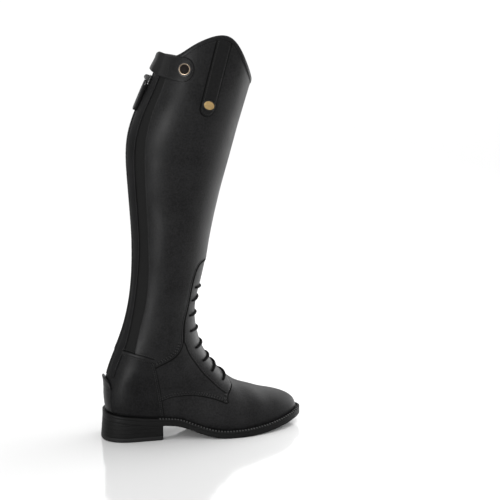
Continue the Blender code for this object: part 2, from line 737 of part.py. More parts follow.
def build_pull(metal, leather, hinge):
    """Metal puller with a barrel on the hinge axis, and the leather tab below it."""
    turn = 2 * math.pi * np.arange(12) / 12
    barrel = [[(BARREL_RADIUS * math.cos(a), y, BARREL_RADIUS * math.sin(a)) for a in turn]
              for y in (-PULLER_HALF, PULLER_HALF)]
    puller = finish("zip_puller", stacked_loops(barrel), metal, hinge)
    eye = PULLER_EYE - PULLER_LENGTH
    swell = math.pi * np.linspace(0.14, 1.86, 13)
    neck = [(PULLER_HALF - 0.1, 0.2), (0.1 - PULLER_HALF, 0.2)]
    round_end = [(PULLER_EYE * math.sin(a), eye + PULLER_EYE * math.cos(a)) for a in swell]
    outline = neck[:1] + round_end + neck[1:]
    loops = [[(x, y, z) for y, z in outline] for x in (-PULLER_THICK / 2, PULLER_THICK / 2)]
    plate = finish("zip_puller_plate", stacked_loops(loops), metal, hinge)
    combine(puller, plate, "UNION")
    start = -PULLER_LENGTH - GAP
    bend = np.linspace(0, math.pi / 2, 6)
    low = start - TAB_LENGTH + TAB_HALF[1]
    side = [(TAB_HALF[0], start), (TAB_HALF[1], low)]
    side += [(TAB_HALF[1] * math.cos(a), low - TAB_HALF[1] * math.sin(a)) for a in bend[1:]]
    outline = side + [(-y, z) for y, z in side[-2::-1]]
    loops = [[(x, y, z) for y, z in outline] for x in (-TAB_THICK / 2, TAB_THICK / 2)]
    finish("pull_tab", stacked_loops(loops), leather, hinge)


def make_material(name, colour, roughness, metallic=0.0):
    material = bpy.data.materials.new(name)
    material.use_nodes = True
    shader = material.node_tree.nodes["Principled BSDF"]
    shader.inputs["Base Color"].default_value = colour
    shader.inputs["Roughness"].default_value = roughness
    shader.inputs["Metallic"].default_value = metallic
    return material


def main():
    clear_scene()
    root = bpy.data.objects.new("boot", None)
    bpy.context.scene.collection.objects.link(root)
    root.location = (-HEEL_CENTRE_X * MM, 0, 0)
    calf = make_material("calf_leather", (0.012, 0.012, 0.013, 1), 0.42)
    sole = make_material("sole_leather", (0.010, 0.010, 0.010, 1), 0.55)
    rubber = make_material("rubber", (0.008, 0.008, 0.008, 1), 0.7)
    lining = make_material("lining", (0.02, 0.02, 0.02, 1), 0.8)
    cord = make_material("waxed_cord", (0.006, 0.006, 0.006, 1), 0.6)
    tape = make_material("zip_tape", (0.008, 0.008, 0.008, 1), 0.75)
    nickel = make_material("dark_nickel", (0.25, 0.25, 0.25, 1), 0.35, 1.0)
    brass = make_material("antique_brass", (0.32, 0.24, 0.12, 1), 0.38, 1.0)
    enamel = make_material("black_enamel", (0.010, 0.010, 0.010, 1), 0.3)
    build_outsole(sole, root)
    build_welt(sole, root)
    build_heel(sole, rubber, root)
    build_insole(lining, root)
    build_upper(calf, root)
    build_tongue(calf, root)
    build_lace(cord, root)
    build_heel_back(calf, root)
    build_snap_strap(calf, brass, enamel, root)
    build_badge_strap(calf, brass, root)
    build_zip(tape, nickel, calf, root)


main()
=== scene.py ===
"""Looks of a lace-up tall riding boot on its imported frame: leather, stitching, lace, zip, sole and metal."""
import math

import bmesh
import bpy
import numpy as np
from mathutils import Matrix, Vector
from mathutils.geometry import delaunay_2d_cdt


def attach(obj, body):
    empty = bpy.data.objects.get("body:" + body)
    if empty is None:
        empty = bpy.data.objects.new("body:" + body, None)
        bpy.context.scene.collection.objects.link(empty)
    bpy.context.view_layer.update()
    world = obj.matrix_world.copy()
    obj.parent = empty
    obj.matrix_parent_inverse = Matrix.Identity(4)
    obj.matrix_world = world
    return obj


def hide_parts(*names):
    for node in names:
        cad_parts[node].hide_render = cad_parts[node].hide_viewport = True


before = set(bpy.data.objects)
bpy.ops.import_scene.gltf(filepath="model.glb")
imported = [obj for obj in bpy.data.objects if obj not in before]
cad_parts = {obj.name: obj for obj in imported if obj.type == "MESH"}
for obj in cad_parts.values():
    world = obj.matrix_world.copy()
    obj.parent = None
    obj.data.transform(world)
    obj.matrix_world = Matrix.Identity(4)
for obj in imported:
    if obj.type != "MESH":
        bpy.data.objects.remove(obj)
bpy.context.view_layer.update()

# Sizes in millimetres, as in the part: x from the back of the heel to the toe, y to the medial side, z up
MM = 0.001
GAP = 0.3
HEEL_CENTRE_X = 41.0
HEEL_BREAST_X = 80.0
BREAST_HOLLOW = 3.0
HEEL_FLARE = 2.5
TOP_PIECE_HEIGHT = 6.0
OUTSOLE_THICK = 5.6
WELT_THICK = 3.6
FEATHER_INSET = 5.3
WALL = 2.4
FAN_X = 190.0
FAN_Z = 170.0
WALL_BULGE = 0.055
BACK_ROUNDING = 2.2
SHIN_ROUNDING = 1.45
CALF_ROUNDING = 2.0
VAMP_ROUNDING = 2.2
SHAFT_ROW = 15
THROAT_HALF = 4.0
THROAT_TOE_X = 169.0
TONGUE_HALF = 26.0
LACE_RADIUS = 1.5
HINGE_Z = 474.0
HINGE_PROUD = 5.8
TAB_REST = math.radians(1.6)
TAB_BACK = -1.9
TAB_FRONT = 2.3
TEETH_HEIGHT = 1.2
TEETH_ROOM = 0.2
WELT_LOW = OUTSOLE_THICK + GAP - 0.15
WELT_SINK = 0.25
LINING_THICK = 0.2
PANEL_BED = 0.9
SHAFT_OVERLAP = 0.45
STRIP_PROUD = 0.85
ELASTIC_WIDTH = 17
SNAP_STRAP_THICK = 1.9
BADGE_STRAP_THICK = 1.7
BADGE_HALF = (9.2, 6.6)
HEEL_BED = 0.38
HEEL_STAY_HALF = 19.5
HEEL_STAY_TOP = 69.5
LEDGE_TALL = 14.5

# Columns a side of the base shell, and its rings in the shaft
SHELL_SIDE = 46
SHELL_RINGS = 45

# Small forms that stand in rows: pitch, length, width, height
FINE_STITCH = (2.7, 2.0, 0.65, 0.5)
BOLD_STITCH = (3.6, 2.5, 1.0, 0.7)
STITCH_HOLE_SHADE = (3.6, 1.4, 1.5, 0.6)
TAB_STITCH = (2.6, 1.9, 0.55, 0.4)
WELT_NOTCH = (4.0, 1.9, 3.8, 2.6)
WELT_HOLLOW_SHADE = (4.0, 2.3, 4.0, 2.0)
ZIP_TOOTH = (1.7, 1.25, 3.1, 1.3)

# Edge of the sole in plan: x, y
SOLE_OUTLINE = [
    (5, 0), (10.5, -19.5), (26, -29.3), (52, -32), (85, -31.8), (112, -34.3), (140, -41.5), (166, -46),
    (192, -45.2), (217, -39.3), (241, -29.5), (262, -14.5), (273, 4), (268, 20), (251, 33.5), (228, 42),
    (204, 45.3), (180, 43.5), (155, 37.5), (128, 30), (102, 27), (78, 28.8), (52, 31), (26, 28.8),
    (10.5, 19.3),
]
# Underside of the sole in side view: x, z
TREAD_LINE = [
    (0, 29.5), (20, 27), (48, 23.3), (80, 19.6), (100, 17.3), (112, 13.7), (124, 9), (136, 4.8), (148, 1.7),
    (159, 0.3), (170, -0.1), (182, -0.1), (192, 0.2), (205, 1.1), (225, 3.2), (245, 6.6), (273, 12.2),
]
# Back of the boot in side view: z, x
BACK_LINE = [
    (37.9, 10.3), (60, 8.3), (85, 11.1), (110, 19.6), (135, 29.9), (160, 37.9), (190, 44.2), (225, 47.8),
    (260, 48.6), (300, 46.9), (345, 44.1), (378, 43), (405, 46), (424, 51.7), (438, 57.5), (462, 70.6),
    (487, 82.3), (510, 90.8), (545, 103),
]
# Rows of the upper: x and z of the front, z of the back, share of the sole's curve
SECTIONS = [
    (266.3, 27.5, 46, 1.0), (262, 34.7, 55, 0.95), (252, 41.5, 64, 0.85), (237, 47, 73, 0.7),
    (220, 51.5, 83, 0.5), (204, 56, 92, 0.35), (188, 62.5, 102, 0.2), (172, 73, 112, 0.1),
    (157, 88.5, 123, 0), (145.5, 104.5, 134, 0), (136, 124, 147, 0), (130.5, 145, 161, 0),
    (128.6, 165, 175, 0), (131.3, 187, 190, 0), (137, 208, 208, 0), (143.5, 235, 235, 0),
    (148.3, 261, 261, 0), (154.5, 288, 288, 0), (164, 327, 327, 0), (175, 366, 366, 0), (186, 405, 405, 0),
    (193.5, 430, 430, 0), (205.5, 469, 469, 0), (229, 545, 545, 0),
]
# Shaft: z, half width, depth of its rounded back
SHAFT = [
    (38, 29, 34), (70, 32, 38), (100, 33.5, 43), (130, 35, 47), (165, 36, 48), (200, 37.5, 48),
    (240, 40, 50), (285, 44.5, 54), (330, 49, 60), (375, 52, 67), (420, 52.5, 68), (470, 51.5, 64),
    (545, 49, 58),
]
# Collar: share of the way from back to front, lateral z, medial z
COLLAR = [
    (0, 503, 503), (0.1, 506, 499.5), (0.2, 517, 496), (0.33, 527, 491.5), (0.48, 530.8, 486),
    (0.58, 527.2, 482.5), (0.7, 514.8, 478), (0.82, 497, 473.8), (0.92, 480.5, 470), (1, 467, 467),
]
# Lace holes: section row, distance from the front line, and how far towards the next hole the lace climbs
EYELETS = [
    (14.75, 22.8, -0.1), (13.89, 22.8, 0.15), (12.95, 24, 0.1), (11.86, 25, 0.1), (10.67, 24.5, 0.3),
    (9.59, 25, 0.45), (8.64, 26, 0.8), (7.74, 25.5, 0.85),
]

# Seams of the lateral side in side view: x, z
SHAFT_EDGE = [
    (132.9, 236.8), (126.5, 229.5), (121.7, 216.9), (118.2, 203.7), (113.8, 179), (108.9, 161.9),
    (106.9, 144.5), (106.4, 134), (104.4, 126), (97.9, 117.1), (86.3, 109.4), (74.8, 104.2), (70.5, 102),
]
STAY_SEAM = [
    (108.9, 135.5), (110.9, 130.5), (115.8, 116.9), (124.5, 102.5), (134.6, 87.6), (146.1, 74.8),
    (155.8, 65.1), (165.6, 57),
]
STAY_UNDER = [(168.5, 62), (160, 68), (150, 78), (139, 91), (129, 105.5), (121, 119), (114, 134)]
QUARTER_LOW = [(80.7, 54.6), (93.2, 58.4), (116.2, 59.8), (136.1, 56.4), (155.7, 50.2), (166, 45.8)]
QUARTER_NOSE = [(166, 45.8), (165.6, 50.7), (167.4, 55.6)]
STAY_FOOT = [(167.2, 56.4), (170.1, 58.8), (173.4, 62.6), (174.3, 66)]
COUNTER_FRONT = [
    (68.4, 108), (71.1, 100.2), (73.7, 87.8), (76.6, 73.1), (79.3, 54.9), (81.7, 36.9), (82.6, 30.5),
]
COUNTER_TOP = [(32.9, 120.4), (44.5, 118.2), (56.9, 114.8), (67.6, 110.9)]

# Elastic panel beside the zip: z, distance round the back of its rear and front edge
ELASTIC = [
    (122, 21, 34.6), (153, 18.5, 33), (182, 17.2, 34.2), (214, 18, 35.2), (257, 21.5, 36),
    (297, 23.2, 37.5), (362, 24.8, 40.8), (418, 25.5, 39), (442, 24.6, 36.5), (465, 22, 33.2),
    (490, 20, 30.5), (503, 19.5, 30),
]

# Soft folds of the leather in side view: x and z of the start and end, half width, height (hollows negative)
FOLDS = [
    (106, 396, 102, 300, 20, -1.3), (84, 300, 80, 236, 13, 0.9), (72, 372, 70, 330, 12, 0.8),
    (104, 236, 100, 176, 13, -0.8), (92, 176, 118, 206, 10, 0.6), (88, 74, 106, 106, 8, 1.2),
    (100, 70, 122, 98, 9, -1.0), (178, 70, 198, 36, 7, -0.6), (196, 66, 214, 34, 7, 0.5),
    (214, 60, 230, 30, 7, -0.5), (26, 100, 30, 62, 15, -0.8), (24, 60, 44, 62, 16, 1.0),
    (24, 104, 50, 110, 12, -0.8), (56, 100, 58, 52, 12, -0.5),
]


def spline(knots, values):
    """Natural cubic through the rows of a table."""
    knots = np.asarray(knots, float)
    values = np.asarray(values, float)
    step = np.diff(knots)
    system = np.diag(np.r_[1, 2 * (step[:-1] + step[1:]), 1])
    for i in range(1, len(step)):
        system[i, i - 1] = step[i - 1]
        system[i, i + 1] = step[i]
    right = np.zeros(len(knots))
    right[1:-1] = 6 * np.diff(np.diff(values) / step)
    bend = np.linalg.solve(system, right)

    def evaluate(at):
        at = np.clip(np.asarray(at, float), knots[0], knots[-1])
        i = np.clip(np.searchsorted(knots, at, side="right") - 1, 0, len(step) - 1)
        below = at - knots[i]
        above = knots[i + 1] - at
        curve = (bend[i] * above ** 3 + bend[i + 1] * below ** 3) / (6 * step[i])
        chord_low = (values[i] / step[i] - bend[i] * step[i] / 6) * above
        chord_high = (values[i + 1] / step[i] - bend[i + 1] * step[i] / 6) * below
        return curve + chord_low + chord_high

    return evaluate


def columns(table):
    """Splines of every later column of a table against its first."""
    first, *rest = zip(*table)
    return [spline(first, column) for column in rest]


def smoothstep(value, low, high):
    share = np.clip((value - low) / (high - low), 0, 1)
    return share * share * (3 - 2 * share)


def sole_line(distance, count):
    """Closed line inside the sole's edge, lateral side first."""
    points = np.asarray(SOLE_OUTLINE, float)
    looped = np.vstack([points, points, points, points[:1]])
    length = np.r_[0, np.cumsum(np.linalg.norm(np.diff(looped, axis=0), axis=1))]
    start = length[len(points)]
    at = start + (length[2 * len(points)] - start) * np.arange(count) / count
    line = np.column_stack([spline(length, looped[:, axis])(at) for axis in (0, 1)])
    along = np.roll(line, -1, axis=0) - np.roll(line, 1, axis=0)
    along /= np.linalg.norm(along, axis=1)[:, None]
    return line + distance * np.column_stack([-along[:, 1], along[:, 0]])


def inset_edge(distance):
    """Lateral and medial y of the sole's edge, moved inwards, as functions of x; with the x range and toe y."""
    line = sole_line(distance, 720)
    line = np.roll(line, -int(np.argmin(line[:, 0])), axis=0)
    toe = int(np.argmax(line[:, 0]))
    lateral = line[:toe + 1]
    medial = np.vstack([line[toe:], line[:1]])[::-1]

    def edge(branch):
        return lambda x: np.interp(x, branch[:, 0], branch[:, 1])

    return edge(lateral), edge(medial), line[0, 0], line[toe, 0], line[toe, 1]


tread_curve, = columns(TREAD_LINE)
back_x, = columns(BACK_LINE)
shaft_half, shaft_back_round = columns(SHAFT)
collar_lateral, collar_medial = columns(COLLAR)
elastic_rear, elastic_front = columns(ELASTIC)
feather_lateral, feather_medial, FEATHER_BACK, FEATHER_TIP, TIP_Y = inset_edge(FEATHER_INSET)


def tread_z(x):
    return np.maximum(tread_curve(x), 0)


def feather_z(x):
    """Height where the upper meets the welt."""
    return tread_z(x) + OUTSOLE_THICK + GAP + WELT_THICK + GAP


FEATHER_ROW = (FEATHER_TIP, feather_z(FEATHER_TIP), feather_z(FEATHER_BACK), 1.0)
ALL_ROWS = [FEATHER_ROW] + SECTIONS
LAST_ROW = len(ALL_ROWS) - 1
section_columns = [spline(range(len(ALL_ROWS)), column) for column in zip(*ALL_ROWS)]
FINE_ROWS = np.linspace(0, LAST_ROW, 1500)
FINE_X = section_columns[0](FINE_ROWS)
FINE_Z = section_columns[1](FINE_ROWS)
FAN_ANGLE = np.arctan2(FAN_Z - FINE_Z, FAN_X - FINE_X)
FAN_REACH = np.hypot(FAN_Z - FINE_Z, FAN_X - FINE_X)
IN_FAN = (FAN_ANGLE > -0.3) & (FAN_ANGLE < math.pi / 2 + 0.3)


def front_x_at(z):
    shaft = FINE_ROWS > 13
    return np.interp(z, FINE_Z[shaft], FINE_X[shaft])


def ridge_z_at(x):
    foot = FINE_ROWS < 9
    return np.interp(x, FINE_X[foot][::-1], FINE_Z[foot][::-1])


def front_share(x, z):
    """0 where the section has its full width, 1 on the front line; measured along a fan of rays."""
    angle = np.clip(np.arctan2(FAN_Z - z, FAN_X - x), 0, math.pi / 2)
    order = np.argsort(FAN_ANGLE[IN_FAN])
    reach = np.interp(angle, FAN_ANGLE[IN_FAN][order], FAN_REACH[IN_FAN][order])
    shaft_z = np.maximum(z, FAN_Z)
    shaft_round = front_x_at(shaft_z) - back_x(shaft_z) - shaft_back_round(shaft_z)
    foot_x = np.maximum(x, FAN_X)
    foot_round = ridge_z_at(foot_x) - feather_z(foot_x)
    turn = smoothstep(angle, 0, math.pi / 2)
    rounding = shaft_round * (1 - turn) + foot_round * turn
    behind = np.where(z >= FAN_Z, front_x_at(z) - x, np.hypot(FAN_Z - z, FAN_X - x) - reach)
    arch = np.maximum(ridge_z_at(x) - feather_z(x), 0.2)
    on_vamp = (x >= FAN_X) & (z < FAN_Z)
    share = np.where(on_vamp, (z - feather_z(x)) / arch, 1 - behind / np.maximum(rounding, 1))
    return np.clip(share, 0, 1)


def front_rounding(x, z):
    """Exponent of the front of a section: low is a narrow shin, high a broad vamp or calf."""
    calf = smoothstep(z, 230, 400)
    vamp = smoothstep(x, 160, 225) * (1 - smoothstep(z, 95, 150))
    return SHIN_ROUNDING + (CALF_ROUNDING - SHIN_ROUNDING) * calf + (VAMP_ROUNDING - SHIN_ROUNDING) * vamp


def ridge_y(x):
    return TIP_Y * smoothstep(x, 100, 180)


def half_width(x, z, side):
    """Distance of the outer wall from the ridge line at a place in side view."""
    rise = z - feather_z(x)
    heel_lean = (back_x(z) - back_x(BACK_LINE[0][0])) * (1 - smoothstep(x, 60, 150))
    edge = np.where(side < 0, feather_lateral(x - heel_lean), feather_medial(x - heel_lean))
    foot = np.abs(edge - ridge_y(x)) * (1 + WALL_BULGE * np.sin(math.pi * np.clip(rise / 45, 0, 1)))
    back_share = np.clip(1 - (x - back_x(z)) / shaft_back_round(z), 0, 1)
    shaft = shaft_half(z) * np.sqrt(1 - back_share ** BACK_ROUNDING)
    forefoot = smoothstep(x, 112, 168) * (1 - smoothstep(z, 95, 150))
    blend = smoothstep(rise, 10, 62) * (1 - forefoot)
    return (foot * (1 - blend) + shaft * blend) * np.sqrt(1 - front_share(x, z) ** front_rounding(x, z))


def side_view(row, along):
    """x and z of a place: section row, and share of the way from its back to its front."""
    front_x, front_z, back_z, sag = (column(row) for column in section_columns)
    rear_x = back_x(back_z)
    chord_x = FEATHER_BACK + (FEATHER_TIP - FEATHER_BACK) * along
    chord_z = FEATHER_ROW[2] + (FEATHER_ROW[1] - FEATHER_ROW[2]) * along
    x = rear_x + (front_x - rear_x) * along
    z = back_z + (front_z - back_z) * along + sag * (feather_z(chord_x) - chord_z)
    return x, z


def upper_point(row, angle):
    """Outer surface of the upper: section row, and angle round it from the back (0) by the lateral side."""
    row, angle = np.broadcast_arrays(np.asarray(row, float), np.asarray(angle, float))
    x, z = side_view(row, (1 - np.cos(angle)) / 2)
    side = -np.sign(np.round(np.sin(angle), 9))
    return np.stack([x, ridge_y(x) + side * half_width(x, z, side), z], axis=-1)


def upper_slopes(row, angle):
    """Change of the surface point for one row and for one radian."""
    nudge = 0.02
    low = np.clip(row - nudge, 0, LAST_ROW)
    high = np.clip(row + nudge, 0, LAST_ROW)
    up = (upper_point(high, angle) - upper_point(low, angle)) / np.asarray(high - low)[..., None]
    round_it = (upper_point(row, angle + nudge) - upper_point(row, angle - nudge)) / (2 * nudge)
    return up, round_it


def unit(vectors):
    return vectors / np.linalg.norm(vectors, axis=-1)[..., None]


def upper_normal(row, angle):
    up, round_it = upper_slopes(np.asarray(row, float), np.asarray(angle, float))
    return unit(np.cross(round_it, up))


def upper_offset(row, angle, proud):
    return upper_point(row, angle) + np.asarray(proud, float)[..., None] * upper_normal(row, angle)


def row_at_z(z):
    """Section row of a level ring of the shaft."""
    shaft = FINE_ROWS >= SHAFT_ROW
    return np.interp(z, FINE_Z[shaft], FINE_ROWS[shaft])


def row_at_ridge_x(x):
    """Section row whose front lies at x on the vamp."""
    foot = FINE_ROWS < 13
    return np.interp(x, FINE_X[foot][::-1], FINE_ROWS[foot][::-1])


def angle_from(row, reach, centre):
    """Angle at a distance round a ring from the back (centre 0) or the front (centre pi), lateral negative."""
    turn = np.linspace(-math.pi / 2, math.pi / 2, 181)
    ring = upper_point(row, centre + turn)
    length = np.r_[0, np.cumsum(np.linalg.norm(np.diff(ring, axis=0), axis=1))]
    length -= np.interp(0, turn, length)
    lateral_first = 1 if centre else -1
    return centre + np.interp(np.asarray(reach) * lateral_first, length, turn)


GUESS_GRID = np.meshgrid(np.linspace(0, LAST_ROW, 193), np.linspace(0, 1, 61))
GUESS_ROW, GUESS_ALONG = (grid.ravel() for grid in GUESS_GRID)
GUESS_X, GUESS_Z = side_view(GUESS_ROW, GUESS_ALONG)


def places(points):
    """Section row and angle of places on the lateral wall that are given in side view."""
    x, z = np.atleast_2d(np.asarray(points, float)).T
    nearest = np.argmin((GUESS_X - x[:, None]) ** 2 + (GUESS_Z - z[:, None]) ** 2, axis=1)
    row = GUESS_ROW[nearest]
    along = GUESS_ALONG[nearest]
    for _ in range(12):
        row_step = np.where(row > LAST_ROW / 2, -0.01, 0.01)
        along_step = np.where(along > 0.5, -0.001, 0.001)
        here = np.stack(side_view(row, along))
        by_row = (np.stack(side_view(row + row_step, along)) - here) / row_step
        by_along = (np.stack(side_view(row, along + along_step)) - here) / along_step
        miss = np.stack([x, z]) - here
        area = by_row[0] * by_along[1] - by_row[1] * by_along[0]
        row = np.clip(row + (miss[0] * by_along[1] - miss[1] * by_along[0]) / area, 0, LAST_ROW)
        along = np.clip(along + (by_row[0] * miss[1] - by_row[1] * miss[0]) / area, 0, 1)
    return np.column_stack([row, np.arccos(1 - 2 * along)])


def back_places(levels, reaches):
    """Section row and angle of places at a height and a distance round the back; lateral is positive here."""
    points = []
    for z, reach in np.broadcast(levels, reaches):
        x_line = back_x(z) + 60 * (1 - np.cos(np.linspace(0, math.pi / 2, 90)))
        y_line = half_width(x_line, np.full_like(x_line, z), np.full_like(x_line, -1.0))
        y_line[0] = 0
        length = np.r_[0, np.cumsum(np.hypot(np.diff(x_line), np.diff(y_line)))]
        points.append((np.interp(abs(reach), length, x_line), z))
    found = places(points)
    found[:, 1] *= np.sign(np.broadcast_to(reaches, len(points)) + 1e-9)
    return found


def front_places(rows, reach):
    """Section row and angle at a distance from the front line, lateral negative."""
    return np.array([(row, float(angle_from(row, reach, math.pi))) for row in np.atleast_1d(rows)])


def run(line, step=1.6):
    """Smooth line on the upper through places given as row and angle, evenly sampled in space."""
    line = np.asarray(line, float)
    room = upper_point(line[:, 0], line[:, 1])
    length = np.r_[0, np.cumsum(np.linalg.norm(np.diff(room, axis=0), axis=1))]
    at = np.linspace(0, length[-1], max(3, int(length[-1] / step) + 1))
    if len(line) == 2:
        return np.column_stack([np.interp(at, length, line[:, k]) for k in (0, 1)])
    return np.column_stack([spline(length, line[:, k])(at) for k in (0, 1)])


def other_side(line, round_front=True):
    """The same line on the medial wall, with angles that carry on round the front or round the back."""
    return np.column_stack([line[:, 0], (2 * math.pi if round_front else 0) - line[:, 1]])


def left_step(line, closed=False):
    """Change of row and angle that moves each point of a line one millimetre to its left over the surface."""
    row, angle = line.T
    up, round_it = upper_slopes(row, angle)
    room = upper_point(row, angle)
    if closed:
        along = np.roll(room, -1, axis=0) - np.roll(room, 1, axis=0)
    else:
        along = np.gradient(room, axis=0)
    left = unit(np.cross(np.cross(round_it, up), along))
    a = (up * up).sum(1)
    b = (up * round_it).sum(1)
    c = (round_it * round_it).sum(1)
    e = (up * left).sum(1)
    f = (round_it * left).sum(1)
    return np.column_stack([e * c - f * b, f * a - e * b]) / (a * c - b * b)[:, None]


def beside(line, distance):
    """Line moved sideways over the surface, to its left where distance is positive."""
    return line + distance * left_step(line)


def both(line):
    """A line of the lateral wall and its copy on the medial wall."""
    return line, other_side(line)


# Lines of the lateral side that several panels share

def shaft_edge_line():
    """Lower front edge of the shaft, from the middle of the front down to the counter's corner."""
    row = float(row_at_z(238.0))
    start = [[(row, math.pi)], front_places(row, -5), front_places(row, -10)]
    return run(np.vstack(start + [places(SHAFT_EDGE)]))


def counter_line(levels, reaches):
    """Line along the counter's top, from places round the back to its front corner."""
    return run(np.vstack([back_places(levels, reaches), places(COUNTER_TOP)]))


def stay_foot_line():
    """Lower end of the lace stay, round to the throat."""
    ends = [front_places(row_at_ridge_x(173.6), -11), front_places(row_at_ridge_x(172.6), -THROAT_HALF)]
    return run(np.vstack([places(STAY_FOOT)] + ends))


def throat_line():
    rows = np.linspace(row_at_ridge_x(170.5), SHAFT_ROW, 14)
    return run(np.vstack([front_places(rows, -THROAT_HALF + 0.15), [(15.06, math.pi - 0.03)]]))


ELASTIC_LEVELS = np.array([z for z, _, _ in ELASTIC])


def elastic_front_line():
    levels = ELASTIC_LEVELS[1:]
    return run(back_places(levels, elastic_front(levels)))


def strip_rear_line():
    """Edge of the strip beside the elastic, carried on straight down to the counter."""
    levels = np.r_[86, 104, ELASTIC_LEVELS]
    return run(back_places(levels, np.r_[20.5, 20.5, elastic_rear(ELASTIC_LEVELS)]))


SHAFT_EDGE_LINE = shaft_edge_line()
EDGE_CORNER = int(0.74 * len(SHAFT_EDGE_LINE))
COUNTER_FRONT_LINE = run(places(COUNTER_FRONT))
COUNTER_BEAD_LINE = counter_line(120.2, [20.5])
MEDIAL_BEAD_LINE = counter_line(119.9, [5.6])
STAY_SEAM_LINE = run(places(STAY_SEAM))
STAY_FOOT_LINE = stay_foot_line()
THROAT_LINE = throat_line()
QUARTER_LOW_LINE = run(places(QUARTER_LOW))
QUARTER_NOSE_LINE = run(places(QUARTER_NOSE))
ELASTIC_FRONT_LINE = elastic_front_line()
ZIP_SIDE_LINE = run(back_places(np.linspace(119, 503, 40), 5.4))
STRIP_ZIP_LINE = run(back_places(np.linspace(86, 502, 42), 5.2))
STRIP_REAR_LINE = strip_rear_line()
SHAFT_AROUND = np.linspace(ELASTIC_FRONT_LINE[-1, 1], 2 * math.pi - ZIP_SIDE_LINE[-1, 1], 220)


# Geometry to objects

def to_metres(points):
    return (np.asarray(points, float) - (HEEL_CENTRE_X, 0, 0)) * MM


def add_object(name, mesh):
    item = bpy.data.objects.new(name, mesh)
    bpy.context.scene.collection.objects.link(item)
    return item


def make_piece(name, points, faces, materials, nodes=(), body="boot", slot="calf_leather", crease=38,
               marks=None):
    """Mesh object of the boot from points in millimetres; marks are face material numbers."""
    mesh = bpy.data.meshes.new(name)
    mesh.from_pydata(to_metres(points).tolist(), [], [tuple(int(i) for i in face) for face in faces])
    if marks is not None:
        mesh.polygons.foreach_set("material_index", np.asarray(marks, np.int32))
    for material in materials:
        mesh.materials.append(material)
    mesh.shade_smooth()
    mesh.set_sharp_from_angle(angle=math.radians(crease))
    item = add_object(name, mesh)
    settle(item, nodes, body)
    return item


def settle(item, nodes, body):
    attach(item, body)
    if nodes:
        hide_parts(*nodes)


def grid_faces(row_count, column_count, start=0, closed=False):
    faces = []
    for i in range(row_count - 1):
        for j in range(column_count if closed else column_count - 1):
            low = start + i * column_count
            k = (j + 1) % column_count
            faces.append((low + j, low + k, low + column_count + k, low + column_count + j))
    return faces


def outwards(points, faces):
    """Faces turned so that the closed form's volume is positive, with doubled points merged."""
    bm = bmesh.new()
    verts = [bm.verts.new(point) for point in np.asarray(points, float)]
    for face in faces:
        bm.faces.new([verts[i] for i in face])
    bmesh.ops.remove_doubles(bm, verts=bm.verts, dist=0.002)
    bmesh.ops.recalc_face_normals(bm, faces=bm.faces)
    bm.verts.index_update()
    clean_points = np.array([vert.co[:] for vert in bm.verts])
    clean_faces = [tuple(vert.index for vert in face.verts) for face in bm.faces]
    bm.free()
    return clean_points, clean_faces


def lofted(loops):
    """Closed form through loops of equal count; the first and last are capped by fans."""
    loops = np.asarray(loops, float)
    rows, count = loops.shape[:2]
    faces = grid_faces(rows, count, closed=True)
    middle = rows * count
    for j in range(count):
        faces.append((middle, (j + 1) % count, j))
        faces.append((middle + 1, (rows - 1) * count + j, (rows - 1) * count + (j + 1) % count))
    return np.vstack([loops.reshape(-1, 3), loops[0].mean(0), loops[-1].mean(0)]), faces


def ring_form(sections):
    """Closed ring through equal sections, each a closed profile."""
    sections = np.asarray(sections, float)
    looped = np.concatenate([sections, sections[:1]])
    return outwards(looped.reshape(-1, 3), grid_faces(len(looped), sections.shape[1], closed=True))


def joined(forms):
    """Several forms as one list of points and faces."""
    points, faces, start = [], [], 0
    for some_points, some_faces in forms:
        points.append(np.asarray(some_points, float))
        faces += [tuple(i + start for i in face) for face in some_faces]
        start += len(some_points)
    return np.vstack(points), faces


def tube(path, radius, sides=10):
    """Round tube along points, closed at its ends."""
    path = np.asarray(path, float)
    along = unit(np.gradient(path, axis=0))
    across = np.cross(along[0], (0.31, 0.22, 0.92))
    turn = 2 * math.pi * np.arange(sides) / sides
    loops = []
    for point, direction in zip(path, along):
        across = across - direction * np.dot(across, direction)
        across /= np.linalg.norm(across)
        other = np.cross(direction, across)
        loops.append(point + radius * (np.outer(np.cos(turn), across) + np.outer(np.sin(turn), other)))
    return lofted(loops)


def level(value, points):
    """Heights at points, from a fixed height or from a function of the points."""
    return value(points) if callable(value) else np.full(len(points), float(value))


def inside_loop(points, loop):
    """Which flat points lie inside a closed line."""
    inside = np.zeros(len(points), bool)
    for (ax, ay), (bx, by) in zip(loop, np.roll(loop, -1, axis=0)):
        if ay == by:
            continue
        crosses = (ay > points[:, 1]) != (by > points[:, 1])
        inside ^= crosses & (points[:, 0] < (bx - ax) * (points[:, 1] - ay) / (by - ay) + ax)
    return inside


def clear_inside(field, ring, distance):
    """Flat points inside a closed line and further than a distance from its corners."""
    field = field[inside_loop(field, ring)]
    room = [((ring - point) ** 2).sum(1).min() for point in field]
    return field[np.array(room) > distance ** 2]


def soften(loop, passes):
    """Closed line with its corners rounded."""
    for _ in range(passes):
        loop = (np.roll(loop, 1, axis=0) + 2 * loop + np.roll(loop, -1, axis=0)) / 4
    return loop


